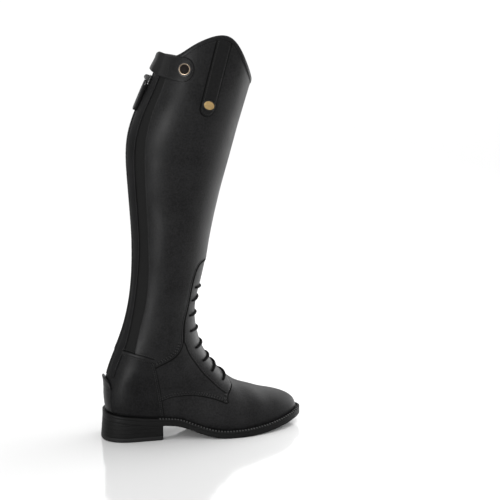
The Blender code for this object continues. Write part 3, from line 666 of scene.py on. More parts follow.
def panel_form(loop, low, high, spacing=4.0, edge=0.8, passes=3):
    """Leather panel inside a closed line on the upper, between two heights, with a rounded edge."""
    loop = soften(np.asarray(loop, float), passes)
    after = np.roll(loop, -1, axis=0)
    if (loop[:, 1] * after[:, 0] - after[:, 1] * loop[:, 0]).sum() < 0:
        loop = loop[::-1]
    up, round_it = upper_slopes(loop[:, 0], loop[:, 1])
    scale = np.array([np.linalg.norm(round_it, axis=1).mean(), np.linalg.norm(up, axis=1).mean()])
    step = left_step(loop, closed=True)
    rings = [(loop + inset * step)[:, ::-1] * scale for inset in (0, 0.3 * edge, edge)]
    lowest, highest = rings[2].min(0), rings[2].max(0)
    across, upward = np.meshgrid(np.arange(lowest[0], highest[0], spacing),
                                 np.arange(lowest[1], highest[1], spacing * 0.866))
    across = across + 0.5 * spacing * (np.arange(len(across)) % 2)[:, None]
    field = clear_inside(np.column_stack([across.ravel(), upward.ravel()]), rings[2], 0.6 * spacing)
    count = len(loop)
    flat = np.vstack(rings + [field])
    edges = [(k * count + j, k * count + (j + 1) % count) for k in range(3) for j in range(count)]
    found, _, faces, origin, _, _ = delaunay_2d_cdt([Vector(point) for point in flat], edges, [], 1, 1e-6)
    spots = np.array([point[:] for point in found]) / scale
    first = np.array([min(came) if came else len(flat) for came in origin])
    on_surface = upper_point(spots[:, 1], spots[:, 0])
    under = level(low, on_surface)
    thick = level(high, on_surface) - under
    share = np.select([first < count, first < 2 * count], [0.45, 0.86], 1.0)
    normal = upper_normal(spots[:, 1], spots[:, 0])
    top = on_surface + normal * (under + thick * share)[:, None]
    bottom = on_surface + normal * under[:, None]
    total = len(top)
    place = {int(f): i for i, f in enumerate(first)}
    rim = [place[j] for j in range(count) if j in place]
    faces = [tuple(face) for face in faces]
    all_faces = faces + [tuple(total + i for i in reversed(face)) for face in faces]
    for one, other in zip(rim, rim[1:] + rim[:1]):
        all_faces.append((one, total + one, total + other, other))
    return np.vstack([top, bottom]), all_faces


def ridge_form(line, half, low, high):
    """Rounded strip along a line on the upper, between two heights."""
    step = left_step(line)
    profile = [(-1, 0), (-0.95, 0.6), (-0.6, 0.92), (0, 1), (0.6, 0.92), (0.95, 0.6), (1, 0)]
    loops = []
    for across, rise in profile:
        row, angle = (line + across * half * step).T
        points = upper_point(row, angle)
        bottom = level(low, points)
        loops.append(upper_offset(row, angle, bottom + (level(high, points) - bottom) * rise))
    return outwards(*lofted(np.array(loops).transpose(1, 0, 2)))


def sheet_form(grid, row_count, outer, inner):
    """Closed sheet over a grid of places on the upper, between two heights."""
    top, bottom = (upper_offset(*grid.T, proud).reshape(row_count, -1, 3) for proud in (outer, inner))
    return outwards(*lofted(np.concatenate([top, bottom[:, ::-1]], axis=1)))


def surface_axes(row, angle, proud):
    """Point over the upper with its sideways, upwards and outwards directions."""
    up, round_it = upper_slopes(np.asarray(row, float), np.asarray(angle, float))
    out = unit(np.cross(round_it, up))
    up = unit(up - out * np.dot(up, out))
    return upper_point(row, angle) + proud * out, np.cross(up, out), up, out


def turned_loops(axes, profile, half, count):
    """Loops of a round or oval form on a place; profile rows are a share of its half sizes and a height."""
    origin, across, up, out = axes
    turn = 2 * math.pi * np.arange(count) / count
    loops = []
    for share, height in profile:
        sideways = np.outer(np.cos(turn) * half[0] * share, across)
        upwards = np.outer(np.sin(turn) * half[1] * share, up)
        loops.append(origin + sideways + upwards + height * out)
    return np.array(loops)


def turned_ring(axes, profile, half=(1, 1), count=56):
    return ring_form(turned_loops(axes, profile, half, count).transpose(1, 0, 2))


def turned_cap(axes, profile, half=(1, 1), count=56):
    return outwards(*lofted(turned_loops(axes, profile, half, count)))


# Node trees

class Wire:
    """A socket of a node tree that takes plain arithmetic; node() adds any other node to its tree."""

    def __init__(self, tree, socket=None):
        self.tree = tree
        self.socket = socket

    def node(self, kind, settings, inputs, out=0):
        made = self.tree.nodes.new(kind)
        for name, value in settings.items():
            if name == "stops":
                for stop, (place, colour) in zip(made.color_ramp.elements, value):
                    stop.position = place
                    stop.color = colour
            else:
                setattr(made, name, value)
        for name, value in inputs.items():
            if isinstance(value, Wire):
                self.tree.links.new(value.socket, made.inputs[name])
            else:
                made.inputs[name].default_value = value
        return Wire(self.tree, made.outputs[out])

    def math(self, operation, one, other):
        return self.node("ShaderNodeMath", {"operation": operation}, {0: one, 1: other})

    def __add__(self, other):
        return self.math("ADD", self, other)

    def __sub__(self, other):
        return self.math("SUBTRACT", self, other)

    def __mul__(self, other):
        return self.math("MULTIPLY", self, other)

    def __rsub__(self, other):
        return self.math("SUBTRACT", other, self)

    __radd__ = __add__
    __rmul__ = __mul__


def new_material(name, **fixed):
    """Material with its shader's plain values set; gives back the material, a wire and the shader node."""
    material = bpy.data.materials.new(name)
    material.use_nodes = True
    tree = material.node_tree
    shader = tree.nodes["Principled BSDF"]
    for socket, value in fixed.items():
        shader.inputs[socket.replace("_", " ")].default_value = value
    return material, Wire(tree), shader


def object_place(wire, stretch=(1, 1, 1)):
    place = wire.node("ShaderNodeTexCoord", {}, {}, "Object")
    return wire.node("ShaderNodeMapping", {}, {"Vector": place, "Scale": stretch})


def noise(wire, place, scale, detail=2.0):
    return wire.node("ShaderNodeTexNoise", {}, {"Vector": place, "Scale": scale, "Detail": detail}, "Fac")


def tones(wire, factor, dark, light, start=0.3, end=0.7):
    """Colour between two tones by a value."""
    stops = [(start, (*dark, 1)), (end, (*light, 1))]
    return wire.node("ShaderNodeValToRGB", {"stops": stops}, {"Fac": factor})


def connect(wire, shader, **links):
    for socket, source in links.items():
        wire.tree.links.new(source.socket, shader.inputs[socket.replace("_", " ")])


def bump(wire, height, strength, depth_mm):
    return wire.node("ShaderNodeBump", {}, {"Height": height, "Strength": strength, "Distance": depth_mm * MM})


def leather(name, dark, light, rough, grain_mm=0.9, grain=0.25, shine=0.11, sheen=0.0):
    """Smooth black calf: fine cells with pores, faint cloudiness in tone and shine."""
    gloss = {"Specular_IOR_Level": shine, "Sheen_Weight": sheen, "Sheen_Roughness": 0.4}
    material, wire, shader = new_material(name, **gloss)
    place = object_place(wire)
    cells = wire.node("ShaderNodeTexVoronoi", {"feature": "F1"}, {"Vector": place, "Scale": 1000 / grain_mm})
    pores = noise(wire, place, 2600, 1.0)
    broad = noise(wire, place, 15, 1.0)
    clouds = noise(wire, place, 34, 3.0)
    fine = noise(wire, place, 480, 2.0)
    connect(
        wire, shader,
        Base_Color=tones(wire, clouds * 0.35 + fine * 0.65, dark, light, 0.36, 0.64),
        Roughness=broad * 0.4 + clouds * 0.2 + fine * 0.2 + (rough - 0.4),
        Normal=bump(wire, cells * 0.6 + pores * 0.3 + fine * 2.6, grain, 0.16),
    )
    return material


def plain_rough(name, dark, light, rough, scale, depth_mm, metal=0.0, strength=0.3, shine=0.15):
    """Finish with an even fine texture: rubber, thread, enamel or cast metal."""
    material, wire, shader = new_material(name, Metallic=metal, Specular_IOR_Level=shine)
    place = object_place(wire)
    speck = noise(wire, place, scale, 3.0)
    patches = noise(wire, place, 60, 2.0)
    connect(
        wire, shader,
        Base_Color=tones(wire, patches * 0.5 + speck * 0.5, dark, light),
        Roughness=speck * 0.12 + patches * 0.1 + (rough - 0.11),
        Normal=bump(wire, speck, strength, depth_mm),
    )
    return material


def ribbed(name, dark, light, rough, attribute, pitch_mm, depth_mm):
    """Woven finish with ribs along the piece, read from a stored distance in millimetres."""
    material, wire, shader = new_material(name, Specular_IOR_Level=0.08)
    across = wire.node("ShaderNodeAttribute", {"attribute_name": attribute}, {}, "Fac")
    wave = wire.node("ShaderNodeMath", {"operation": "SINE"}, {0: across * (2 * math.pi / pitch_mm)})
    ribs = wave * 0.5 + 0.5
    threads = noise(wire, object_place(wire, (1, 1, 1.6)), 1500, 1.0)
    connect(
        wire, shader,
        Base_Color=tones(wire, ribs * 0.6 + threads * 0.4, dark, light),
        Roughness=threads * 0.15 + (rough - 0.08),
        Normal=bump(wire, ribs * 0.7 + threads * 0.5, 0.6, depth_mm),
    )
    return material


def layered(name, dark, light, rough, lines_mm):
    """Edge of stacked leather: level lines between the lifts, and a fine lengthways scratch."""
    material, wire, shader = new_material(name, Specular_IOR_Level=0.08)
    place = wire.node("ShaderNodeTexCoord", {}, {}, "Object")
    height = wire.node("ShaderNodeSeparateXYZ", {}, {"Vector": place}, "Z")
    groove = 0.0
    for line in lines_mm:
        away = wire.node("ShaderNodeMath", {"operation": "ABSOLUTE"}, {0: height - line * MM})
        mark = wire.node("ShaderNodeMapRange", {"interpolation_type": "SMOOTHSTEP"},
                         {"Value": away, "From Min": 0.0, "From Max": 0.5 * MM, "To Min": 1.0, "To Max": 0.0})
        groove = mark + groove
    streaks = noise(wire, object_place(wire, (1, 1, 14)), 120, 3.0)
    speck = noise(wire, place, 900, 2.0)
    connect(
        wire, shader,
        Base_Color=tones(wire, streaks * 0.7 + speck * 0.3 - groove * 0.4, dark, light),
        Roughness=streaks * 0.2 + (rough - 0.1) + groove * 0.15,
        Normal=bump(wire, streaks * 0.3 + speck * 0.3 - groove, 0.5, 0.25),
    )
    return material


def grey(tone):
    return (tone, tone, tone)


def cool(tone):
    """Grey with a trace of blue, as dyed leather has."""
    return (tone, tone, round(1.04 * tone, 4))


# Finishes: darkest and lightest tone, roughness, then the scale and depth of the texture
CALF = leather("black_calf", cool(0.0015), cool(0.0075), 0.47, sheen=0.05)
VAMP = leather("black_calf_vamp", cool(0.0015), cool(0.0075), 0.44)
STRAP = leather("black_strap_calf", cool(0.002), cool(0.005), 0.5)
# Darker and less shiny copy of the calf: painted shade on the counter.
SHADED_COUNTER_CALF = leather("black_counter_calf_painted_shade", cool(0.0015), cool(0.0065), 0.5, shine=0.08)
BACK_STRIP = leather("black_back_calf", cool(0.002), cool(0.007), 0.6, shine=0.05)
LINING = leather("dark_lining", grey(0.018), grey(0.034), 0.75, 1.4, 0.4)
ELASTIC_CLOTH = ribbed("black_elastic", grey(0.0025), grey(0.0065), 0.75, "across", 1.1, 0.25)
TAPE = ribbed("zip_tape_weave", grey(0.003), grey(0.008), 0.8, "across", 0.7, 0.15)
THREAD = plain_rough("black_thread", grey(0.008), grey(0.017), 0.5, 3000, 0.08, shine=0.2)
# Lighter grey: the welt thread's colour with a painted highlight on the notch tops.
WELT_THREAD_AND_HIGHLIGHT = plain_rough("welt_thread_painted_highlight", grey(0.028), grey(0.055), 0.5, 2000, 0.08, shine=0.3)
CORD = plain_rough("waxed_cord_weave", grey(0.0015), grey(0.004), 0.75, 1600, 0.25, shine=0.04)
COIL = plain_rough("zip_coil_nylon", grey(0.004), grey(0.008), 0.55, 2000, 0.05, shine=0.06)
SOLE_EDGE = layered("black_sole_edge", grey(0.002), grey(0.0055), 0.5, ())
HEEL_EDGE = layered("black_heel_stack", grey(0.0015), grey(0.005), 0.55, (12.0, 17.5, 23.0))
RUBBER = plain_rough("black_top_piece", grey(0.003), grey(0.007), 0.65, 700, 0.3)
TREAD = plain_rough("dark_tread", grey(0.006), (0.014, 0.0135, 0.013), 0.6, 300, 0.3)
NICKEL = plain_rough("dark_nickel_cast", grey(0.04), grey(0.09), 0.36, 900, 0.04, metal=1.0)
BRASS = plain_rough("antique_brass_cast", (0.26, 0.17, 0.07), (0.45, 0.32, 0.15), 0.34, 500, 0.06, metal=1.0)
BRONZE = plain_rough("aged_bronze", (0.10, 0.075, 0.055), (0.30, 0.24, 0.18), 0.34, 700, 0.06, metal=1.0)
# Black of the badge strap's cut edge, and painted shade in the seams, stitch holes and welt hollows.
BLACK_EDGE_AND_SHADE = plain_rough("black_edge_and_painted_shade", grey(0.002), grey(0.005), 0.9, 900, 0.1, shine=0.03)
# Black of the badge rim, and of the snap flange, where it is partly painted shade.
ENAMEL_AND_SHADE = plain_rough("black_enamel_and_painted_shade", grey(0.006), grey(0.012), 0.3, 800, 0.03)
SNAP_HEART = plain_rough("snap_heart_black", (0.003, 0.0025, 0.002), (0.009, 0.007, 0.006), 0.6, 700, 0.1,
                         shine=0.05)


# Rows of small forms along lines: stitches, welt notches and zip teeth

BEAD_SIZES = ("Pitch", "Length", "Width", "Height")


def bead_tree():
    """Rounded beads along every line of a mesh, standing on its stored outward directions."""
    tree = bpy.data.node_groups.new("bead_rows", "GeometryNodeTree")
    sockets = {}
    kinds = {"Lines": "Geometry", **dict.fromkeys(BEAD_SIZES, "Float"), "Finish": "Material"}
    for name, kind in kinds.items():
        socket = tree.interface.new_socket(name, in_out="INPUT", socket_type="NodeSocket" + kind)
        sockets[name] = socket.identifier
    tree.interface.new_socket("Beads", in_out="OUTPUT", socket_type="NodeSocketGeometry")
    start = Wire(tree)
    given = tree.nodes.new("NodeGroupInput")
    mesh, pitch, length, width, height, finish = (Wire(tree, given.outputs[name]) for name in kinds)
    lines = start.node("GeometryNodeMeshToCurve", {}, {"Mesh": mesh})
    spots = start.node("GeometryNodeResampleCurve", {"mode": "LENGTH"}, {"Curve": lines, "Length": pitch})
    ball = start.node("GeometryNodeMeshIcoSphere", {}, {"Radius": 1.0, "Subdivisions": 1})
    size = start.node("ShaderNodeCombineXYZ", {}, {"X": length * 0.5, "Y": width * 0.5, "Z": height * 0.5})
    bead = start.node("GeometryNodeTransform", {}, {"Geometry": ball, "Scale": size})
    along = start.node("GeometryNodeInputTangent", {}, {})
    out = start.node("GeometryNodeInputNamedAttribute", {"data_type": "FLOAT_VECTOR"}, {"Name": "out"},
                     "Attribute")
    lying = start.node("FunctionNodeAlignRotationToVector", {"axis": "X"}, {"Vector": along})
    standing = start.node("FunctionNodeAlignRotationToVector", {"axis": "Z", "pivot_axis": "X"},
                          {"Rotation": lying, "Vector": out})
    beads = start.node("GeometryNodeInstanceOnPoints", {},
                       {"Points": spots, "Instance": bead, "Rotation": standing})
    real = start.node("GeometryNodeRealizeInstances", {}, {"Geometry": beads})
    smooth = start.node("GeometryNodeSetShadeSmooth", {}, {"Geometry": real})
    painted = start.node("GeometryNodeSetMaterial", {}, {"Geometry": smooth, "Material": finish})
    result = tree.nodes.new("NodeGroupOutput")
    tree.links.new(painted.socket, result.inputs["Beads"])
    return tree, sockets


BEAD_TREE, BEAD_SOCKETS = bead_tree()


def bead_rows(name, rows, sizes, finish, body="boot"):
    """One mesh of beads along rows of (points, outward directions), all in millimetres."""
    points = np.vstack([row[0] for row in rows])
    out = np.vstack([row[1] for row in rows])
    edges = []
    start = 0
    for line, _ in rows:
        edges += [(start + i, start + i + 1) for i in range(len(line) - 1)]
        start += len(line)
    mesh = bpy.data.meshes.new(name + "_lines")
    mesh.from_pydata(to_metres(points).tolist(), edges, [])
    mesh.attributes.new("out", "FLOAT_VECTOR", "POINT").data.foreach_set("vector", out.ravel())
    guide = add_object(name + "_lines", mesh)
    maker = guide.modifiers.new("beads", "NODES")
    maker.node_group = BEAD_TREE
    for socket, value in zip(BEAD_SIZES, sizes):
        maker[BEAD_SOCKETS[socket]] = value * MM
    maker[BEAD_SOCKETS["Finish"]] = finish
    bpy.context.view_layer.update()
    made = bpy.data.meshes.new_from_object(guide.evaluated_get(bpy.context.evaluated_depsgraph_get()))
    made.name = name
    bpy.data.objects.remove(guide)
    settle(add_object(name, made), (), body)


FINE_STITCHES = []
BOLD_STITCHES = []


def stitch(line, height, rows=FINE_STITCHES):
    """Note one row of stitches along a line on the upper, at a height over it."""
    row, angle = line.T
    points = upper_point(row, angle)
    out = upper_normal(row, angle)
    rows.append((points + out * level(height, points)[:, None], out))


def between(rows, sizes):
    """The same rows shortened by half a pitch at both ends, so that new beads fall between the first ones."""
    half_pitch = sizes[0] / 2
    short_rows = []
    for points, out in rows:
        length = np.r_[0, np.cumsum(np.linalg.norm(np.diff(points, axis=0), axis=1))]
        at = np.linspace(half_pitch, length[-1] - half_pitch, len(points))
        short_rows.append([np.column_stack([np.interp(at, length, column) for column in values.T])
                           for values in (points, out)])
    return short_rows


# Heights of the leather layers over the upper's outer surface

def folds(points):
    """Height of the soft folds at places on the upper."""
    total = np.zeros(len(points))
    for start_x, start_z, end_x, end_z, half, height in FOLDS:
        way = np.array([end_x - start_x, end_z - start_z])
        length = np.linalg.norm(way)
        place = (points[:, [0, 2]] - (start_x, start_z)) @ np.column_stack([way, (-way[1], way[0])]) / length
        begun = smoothstep(place[:, 0], -half, half)
        ended = smoothstep(place[:, 0], length - half, length + half)
        total += height * np.exp(-(place[:, 1] / half) ** 2) * (begun * (1 - ended))
    return total


def base_level(points):
    """Base shell, which lies deeper where panels cover it."""
    return folds(points) - PANEL_BED * (1 - smoothstep(points[:, 0], 158, 182))


def shaft_low(points):
    """Underside of the shaft panel, over the stay at its lower edge and flat on the upper further up."""
    return folds(points) + SHAFT_OVERLAP - smoothstep(points[:, 2], 245, 300)


def above(ground, height):
    """A level at a fixed height over another one."""
    return lambda points: ground(points) + height


under_panels = above(base_level, 0.05)
quarter_level = above(base_level, 0.85)
stay_level = above(base_level, 1.3)
shaft_level = above(shaft_low, 0.7)
counter_level = above(folds, 0.35)


def collar_z(angle):
    along = (1 - np.cos(angle)) / 2
    return np.where(np.sin(angle) > 0, collar_lateral(along), collar_medial(along))


# Base shell of the upper

def shell_grid(low_rows):
    """Rows and angles of the shell's points, with three columns at the front for the throat."""
    fraction = np.linspace(0, 1, SHELL_SIDE + 1)
    fraction = fraction - 0.05 * np.sin(2 * math.pi * fraction)
    rows, angles = [], []
    for row in np.r_[low_rows, np.full(SHELL_RINGS, SHAFT_ROW)]:
        gap = math.pi - float(angle_from(row, -THROAT_HALF, math.pi))
        side = fraction * (math.pi - gap)
        angles.append(np.r_[side, math.pi, (2 * math.pi - side[::-1])[:-1]])
        rows.append(np.full(len(angles[-1]), row))
    start = ALL_ROWS[SHAFT_ROW][1]
    for k, share in enumerate(np.linspace(0, 1, SHELL_RINGS + 1)[1:], len(low_rows)):
        rows[k] = row_at_z(start + (collar_z(angles[k]) - 0.4 - start) * share)
    return np.array(rows), np.array(angles)


def shell_faces(row_count, count, slot_rows):
    """Outer and inner faces with their material numbers, and the edges round the openings."""
    faces, marks = [], []
    shift = row_count * count
    for i in range(row_count - 1):
        for j in range(count):
            if i in slot_rows and j in (SHELL_SIDE, SHELL_SIDE + 1):
                continue
            k = (j + 1) % count
            quad = (i * count + j, i * count + k, (i + 1) * count + k, (i + 1) * count + j)
            faces += [quad, tuple(shift + v for v in reversed(quad))]
            marks += [0, 1]
    rims = []
    for i in slot_rows:
        rims.append((i * count + SHELL_SIDE, (i + 1) * count + SHELL_SIDE))
        rims.append(((i + 1) * count + SHELL_SIDE + 2, i * count + SHELL_SIDE + 2))
    for i, turn in ((slot_rows[0], -1), (slot_rows[-1] + 1, 1)):
        ends = [i * count + SHELL_SIDE + step for step in (0, 1, 2)][::turn]
        rims += list(zip(ends[:-1], ends[1:]))
    last = (row_count - 1) * count
    rims += [(last + j, last + (j + 1) % count) for j in range(count)]
    rims += [((j + 1) % count, j) for j in range(count)]
    for one, other in rims:
        faces.append((one, other, shift + other, shift + one))
        marks.append(0)
    return faces, marks


def build_shell():
    """Hollow base of the upper with its lining, open at the collar, at the throat and underneath."""
    toe_row = float(row_at_ridge_x(THROAT_TOE_X))
    low_rows = np.unique(np.r_[np.arange(0, SHAFT_ROW + 0.01, 0.25), toe_row])
    slot_rows = [i for i, row in enumerate(low_rows) if toe_row <= row < SHAFT_ROW]
    rows, angles = shell_grid(low_rows)
    count = angles.shape[1]
    surface = upper_point(rows, angles).reshape(-1, 3)
    normal = upper_normal(rows, angles).reshape(-1, 3)
    outer = surface + normal * base_level(surface)[:, None]
    outer[:count, 2] -= WELT_SINK
    inner = surface - normal * (WALL + LINING_THICK)
    faces, marks = shell_faces(len(rows), count, slot_rows)
    points = np.vstack([outer, inner])
    used = np.unique(np.concatenate([np.array(face) for face in faces]))
    renumber = np.full(len(points), -1)
    renumber[used] = np.arange(len(used))
    faces = [tuple(renumber[list(face)]) for face in faces]
    make_piece("upper_shell", points[used], faces, [VAMP, LINING], nodes=["upper"], marks=marks)


# Panels of the upper

def build_counter():
    """Counter round the heel."""
    low_edge = run(np.array([(0.05, COUNTER_FRONT_LINE[-1, 1]), (0.05, 0.6), (0.05, 0.001)]))
    half = np.vstack([counter_line([119.5, 119.9], [0.01, 7.0]), COUNTER_FRONT_LINE, low_edge])
    loop = np.vstack([half, other_side(half, False)[::-1]])
    make_piece("counter", *panel_form(loop, above(folds, -0.8), counter_level), [SHADED_COUNTER_CALF])


def build_quarters():
    """Quarters of both sides, which run under the stay, the shaft and the counter."""
    hidden_top = run(places([(103, 138), (94, 124.5), (83, 112.5), (70, 105)]))
    hidden_rear = run(places([(70, 96), (71.5, 84), (73, 70), (74.5, 57.5)]))
    loop = np.vstack([QUARTER_LOW_LINE, QUARTER_NOSE_LINE, run(places(STAY_UNDER)), hidden_top, hidden_rear])
    quarters = [panel_form(side, under_panels, quarter_level) for side in both(loop)]
    make_piece("quarters", *joined(quarters), [CALF])


def build_lace_stay():
    """Lace stay, one piece that closes over the top of the throat."""
    top_row = float(row_at_z(243))
    crown = np.vstack([[(top_row, math.pi)], front_places(top_row, -16)])
    hidden = [(121, 238), (114.5, 224), (111, 208), (106.5, 181), (102, 164), (100.5, 149), (104, 139.5)]
    tucked = run(np.vstack([crown, places(hidden)]))
    half = np.vstack([tucked, STAY_SEAM_LINE, STAY_FOOT_LINE, THROAT_LINE])
    loop = np.vstack([half, other_side(half)[::-1]])
    make_piece("lace_stay", *panel_form(loop, under_panels, stay_level, spacing=3.0), [CALF])


def build_shaft():
    """Shaft, from the elastic round the front to the zip's medial edge."""
    top = np.column_stack([row_at_z(collar_z(SHAFT_AROUND) - 0.5), SHAFT_AROUND])
    medial_counter = other_side(counter_line(119.9, [5.4, 8.0]))
    lateral_counter = run(np.vstack([places(COUNTER_TOP)[::-1][:3], back_places(121.5, [36.0])]))
    corner = run(places([SHAFT_EDGE[-1], COUNTER_TOP[-1]]))
    edges = [
        top, other_side(ZIP_SIDE_LINE)[::-1], medial_counter, other_side(corner)[::-1],
        other_side(SHAFT_EDGE_LINE)[::-1], SHAFT_EDGE_LINE, corner, lateral_counter,
    ]
    loop = np.vstack([ELASTIC_FRONT_LINE] + [edge[1:] for edge in edges])
    make_piece("shaft", *panel_form(loop, shaft_low, shaft_level, spacing=4.5), [CALF])


def build_shaft_rim():
    """Rolled rim of the shaft's lower front edge."""
    rims = [ridge_form(beside(line, -1.0), 1.0, above(folds, 0.9), above(folds, 1.45))
            for line in (SHAFT_EDGE_LINE, other_side(SHAFT_EDGE_LINE)[::-1])]
    make_piece("shaft_rim", *joined(rims), [STRAP])


def build_painted_seam_shade():
    """Black strips beside the edges of the panels: painted shade where the raised edges throw their shadow."""
    seams = []
    for line, half in ((SHAFT_EDGE_LINE[:EDGE_CORNER + 1], 2.2), (SHAFT_EDGE_LINE[EDGE_CORNER:], 1.2)):
        for seam in both(beside(line, half - 0.1)):
            seams.append(ridge_form(seam, half, base_level, above(folds, 1.25)))
    # Black strip above each counter bead: painted shade under the shaft's edge.
    for seam in (beside(COUNTER_BEAD_LINE, 2.7), other_side(beside(MEDIAL_BEAD_LINE, 2.7), False)):
        seams.append(ridge_form(seam, 0.8, above(folds, 0.3), above(shaft_level, 0.3)))
    count = len(STAY_FOOT_LINE)
    tucked_in = smoothstep(np.arange(count), count - 9, count - 4)
    foot_seam = beside(STAY_FOOT_LINE, 4.0 * tucked_in[:, None])[:-3]
    # Line, level of the leather beside it, half width
    for line, ground, half in (
        (STAY_SEAM_LINE, quarter_level, 0.6),
        (foot_seam, base_level, 1.2),
        (QUARTER_NOSE_LINE, base_level, 1.0),
        (QUARTER_LOW_LINE, base_level, 0.8),
        (COUNTER_FRONT_LINE, quarter_level, 0.6),
    ):
        for seam in both(beside(line, 0.1 - half)):
            seams.append(ridge_form(seam, half, above(base_level, -0.1), above(ground, 0.35)))
    make_piece("painted_seam_shade", *joined(seams), [BLACK_EDGE_AND_SHADE])


def build_zip_strip():
    """Leather strip between zip and elastic."""
    low = run(back_places(86, [5.2, 10, 16, 20]))
    loop = np.vstack([STRIP_ZIP_LINE[::-1], low[1:], STRIP_REAR_LINE[1:]])
    make_piece("zip_strip", *panel_form(loop, 0.05, STRIP_PROUD, spacing=3.5), [BACK_STRIP])


def store_across(item, distances):
    """Keep the distance across a woven piece, in millimetres, for its ribs."""
    item.data.attributes.new("across", "FLOAT", "POINT").data.foreach_set("value", distances)


def build_elastic():
    """Ribbed elastic, a little below the leather beside it."""
    heights = np.linspace(117, 503, 110)
    share = np.linspace(0, 1, 15)
    grid = []
    for z in heights:
        rear = elastic_rear(max(z, ELASTIC_LEVELS[0])) - 3
        front = elastic_front(max(z, ELASTIC_LEVELS[0])) + 3
        grid.append(back_places(z, rear + (front - rear) * share))
    row, angle = np.array(grid).reshape(-1, 2).T
    top = upper_offset(row, angle, -0.25)
    bottom = upper_offset(row, angle, -0.8)
    count = len(share)
    shift = len(top)
    faces = grid_faces(len(heights), count)
    faces += [tuple(shift + i for i in reversed(face)) for face in faces]
    rim = list(range(count)) + [(k + 1) * count - 1 for k in range(1, len(heights))]
    rim += [shift - 1 - i for i in range(1, count)] + [k * count for k in range(len(heights) - 2, 0, -1)]
    faces += [(one, shift + one, shift + other, other) for one, other in zip(rim, rim[1:] + rim[:1])]
    item = make_piece("elastic", np.vstack([top, bottom]), faces, [ELASTIC_CLOTH])
    store_across(item, np.tile(share * ELASTIC_WIDTH, 2 * len(heights)))


def build_counter_seam():
    """Raised seam over the counter."""
    seams = [ridge_form(line, 2.1, above(folds, 0.3), above(folds, 1.35))
             for line in (COUNTER_BEAD_LINE, other_side(MEDIAL_BEAD_LINE, False))]
    make_piece("counter_seam", *joined(seams), [CALF])


def sew_panels():
    """Stitch rows of the panels: those of both sides, then those beside zip, elastic and collar."""
    for line, insets, height, rows in (
        (SHAFT_EDGE_LINE[EDGE_CORNER:], (-3.0, -5.4), shaft_level, BOLD_STITCHES),
        (SHAFT_EDGE_LINE[:EDGE_CORNER], (5.4,), stay_level, FINE_STITCHES),
        (QUARTER_LOW_LINE[:-3], (1.5, 4.0), quarter_level, BOLD_STITCHES),
        (QUARTER_NOSE_LINE[1:-1], (1.8, 3.6), quarter_level, BOLD_STITCHES),
        (STAY_SEAM_LINE, (1.4,), stay_level, FINE_STITCHES),
        (THROAT_LINE[3:-2], (2.0,), stay_level, FINE_STITCHES),
        (COUNTER_FRONT_LINE, (-1.8, -4.0), counter_level, FINE_STITCHES),
        (COUNTER_BEAD_LINE, (-3.0,), counter_level, FINE_STITCHES),
        (COUNTER_BEAD_LINE, (4.6,), shaft_level, FINE_STITCHES),
    ):
        for inset in insets:
            for side in both(beside(line, inset)):
                stitch(side, height, rows)
    for line, inset, height in (
        (ELASTIC_FRONT_LINE, -1.6, shaft_level),
        (STRIP_REAR_LINE[8:], 1.5, STRIP_PROUD),
        (STRIP_ZIP_LINE, 1.4, STRIP_PROUD),
        (STRIP_ZIP_LINE, -4.0, STRIP_PROUD),
    ):
        stitch(beside(line, inset), height)
    stitch(other_side(beside(ZIP_SIDE_LINE, -1.8)), shaft_level)
    stitch(np.column_stack([row_at_z(collar_z(SHAFT_AROUND) - 6.2), SHAFT_AROUND]), shaft_level)


def build_collar():
    """Binding folded over the top edge; its profile is a depth below the edge and a height over the upper."""
    around = np.linspace(0, 2 * math.pi, 241)[:-1] + 0.004
    row = row_at_z(collar_z(around))
    points = upper_point(row, around)
    out = upper_normal(row, around)
    along = unit(np.roll(points, -1, axis=0) - np.roll(points, 1, axis=0))
    down = unit(np.cross(along, out))
    down *= np.where(down[:, 2] > 0, -1, 1)[:, None]
    profile = [(4.4, 0.05), (4.5, 0.55), (4.0, 0.85), (1.0, 0.9), (-0.4, 0.5), (-1.0, -0.4), (-1.2, -1.3),
               (-1.0, -2.2), (-0.4, -3.0), (1.0, -3.3), (5.0, -3.3), (5.4, -2.9), (5.2, -2.5)]
    sections = [[p + d * deep + n * proud for deep, proud in profile] for p, d, n in zip(points, down, out)]
    make_piece("collar_binding", *ring_form(sections), [CALF])


# Tongue and lace

def build_tongue():
    rows = np.linspace(row_at_ridge_x(184), row_at_z(226), 40)
    reach = np.linspace(-TONGUE_HALF, TONGUE_HALF, 25)
    grid = [[(row, angle) for angle in angle_from(row, reach, math.pi)] for row in rows]
    sheet = sheet_form(np.array(grid).reshape(-1, 2), len(rows), -(WALL + 0.7), -(WALL + 2.2))
    make_piece("tongue_sheet", *sheet, [STRAP], nodes=["tongue"])


def lace_path(row, climb, reach, middle):
    """Points of one run of lace: out of its hole, over its stay and the throat, then under the other stay."""
    # Share of the climb, share of the reach, height over the upper
    stops = [
        (0.0, 1.0, -2.4), (0.0, 1.0, 0.2), (0.04, 0.96, 1.6), (0.26, 0.74, 2.0), (0.55, 0.45, 2.0),
        (0.8, 0.2, 1.4 + 0.4 * middle), (1.0, 0.0, middle), (1.12, -0.14, 0.5 * middle - 0.8),
        (1.22, -0.26, -1.9), (1.35, -0.45, -2.2),
    ]
    at = np.linspace(0, len(stops) - 1, 40)
    rise, swing, proud = (spline(range(len(stops)), column)(at) for column in zip(*stops))
    return [upper_offset(r, angle_from(r, reach * s, math.pi), h)
            for r, s, h in zip(row + climb * rise, swing, proud)]


def hole_rim(row, angle):
    profile = [(1.55, -0.6), (1.6, 0.1), (1.9, 0.28), (2.3, 0.2), (2.6, -0.1), (2.6, -0.6)]
    return turned_ring(surface_axes(row, angle, 0.35), profile, count=20)


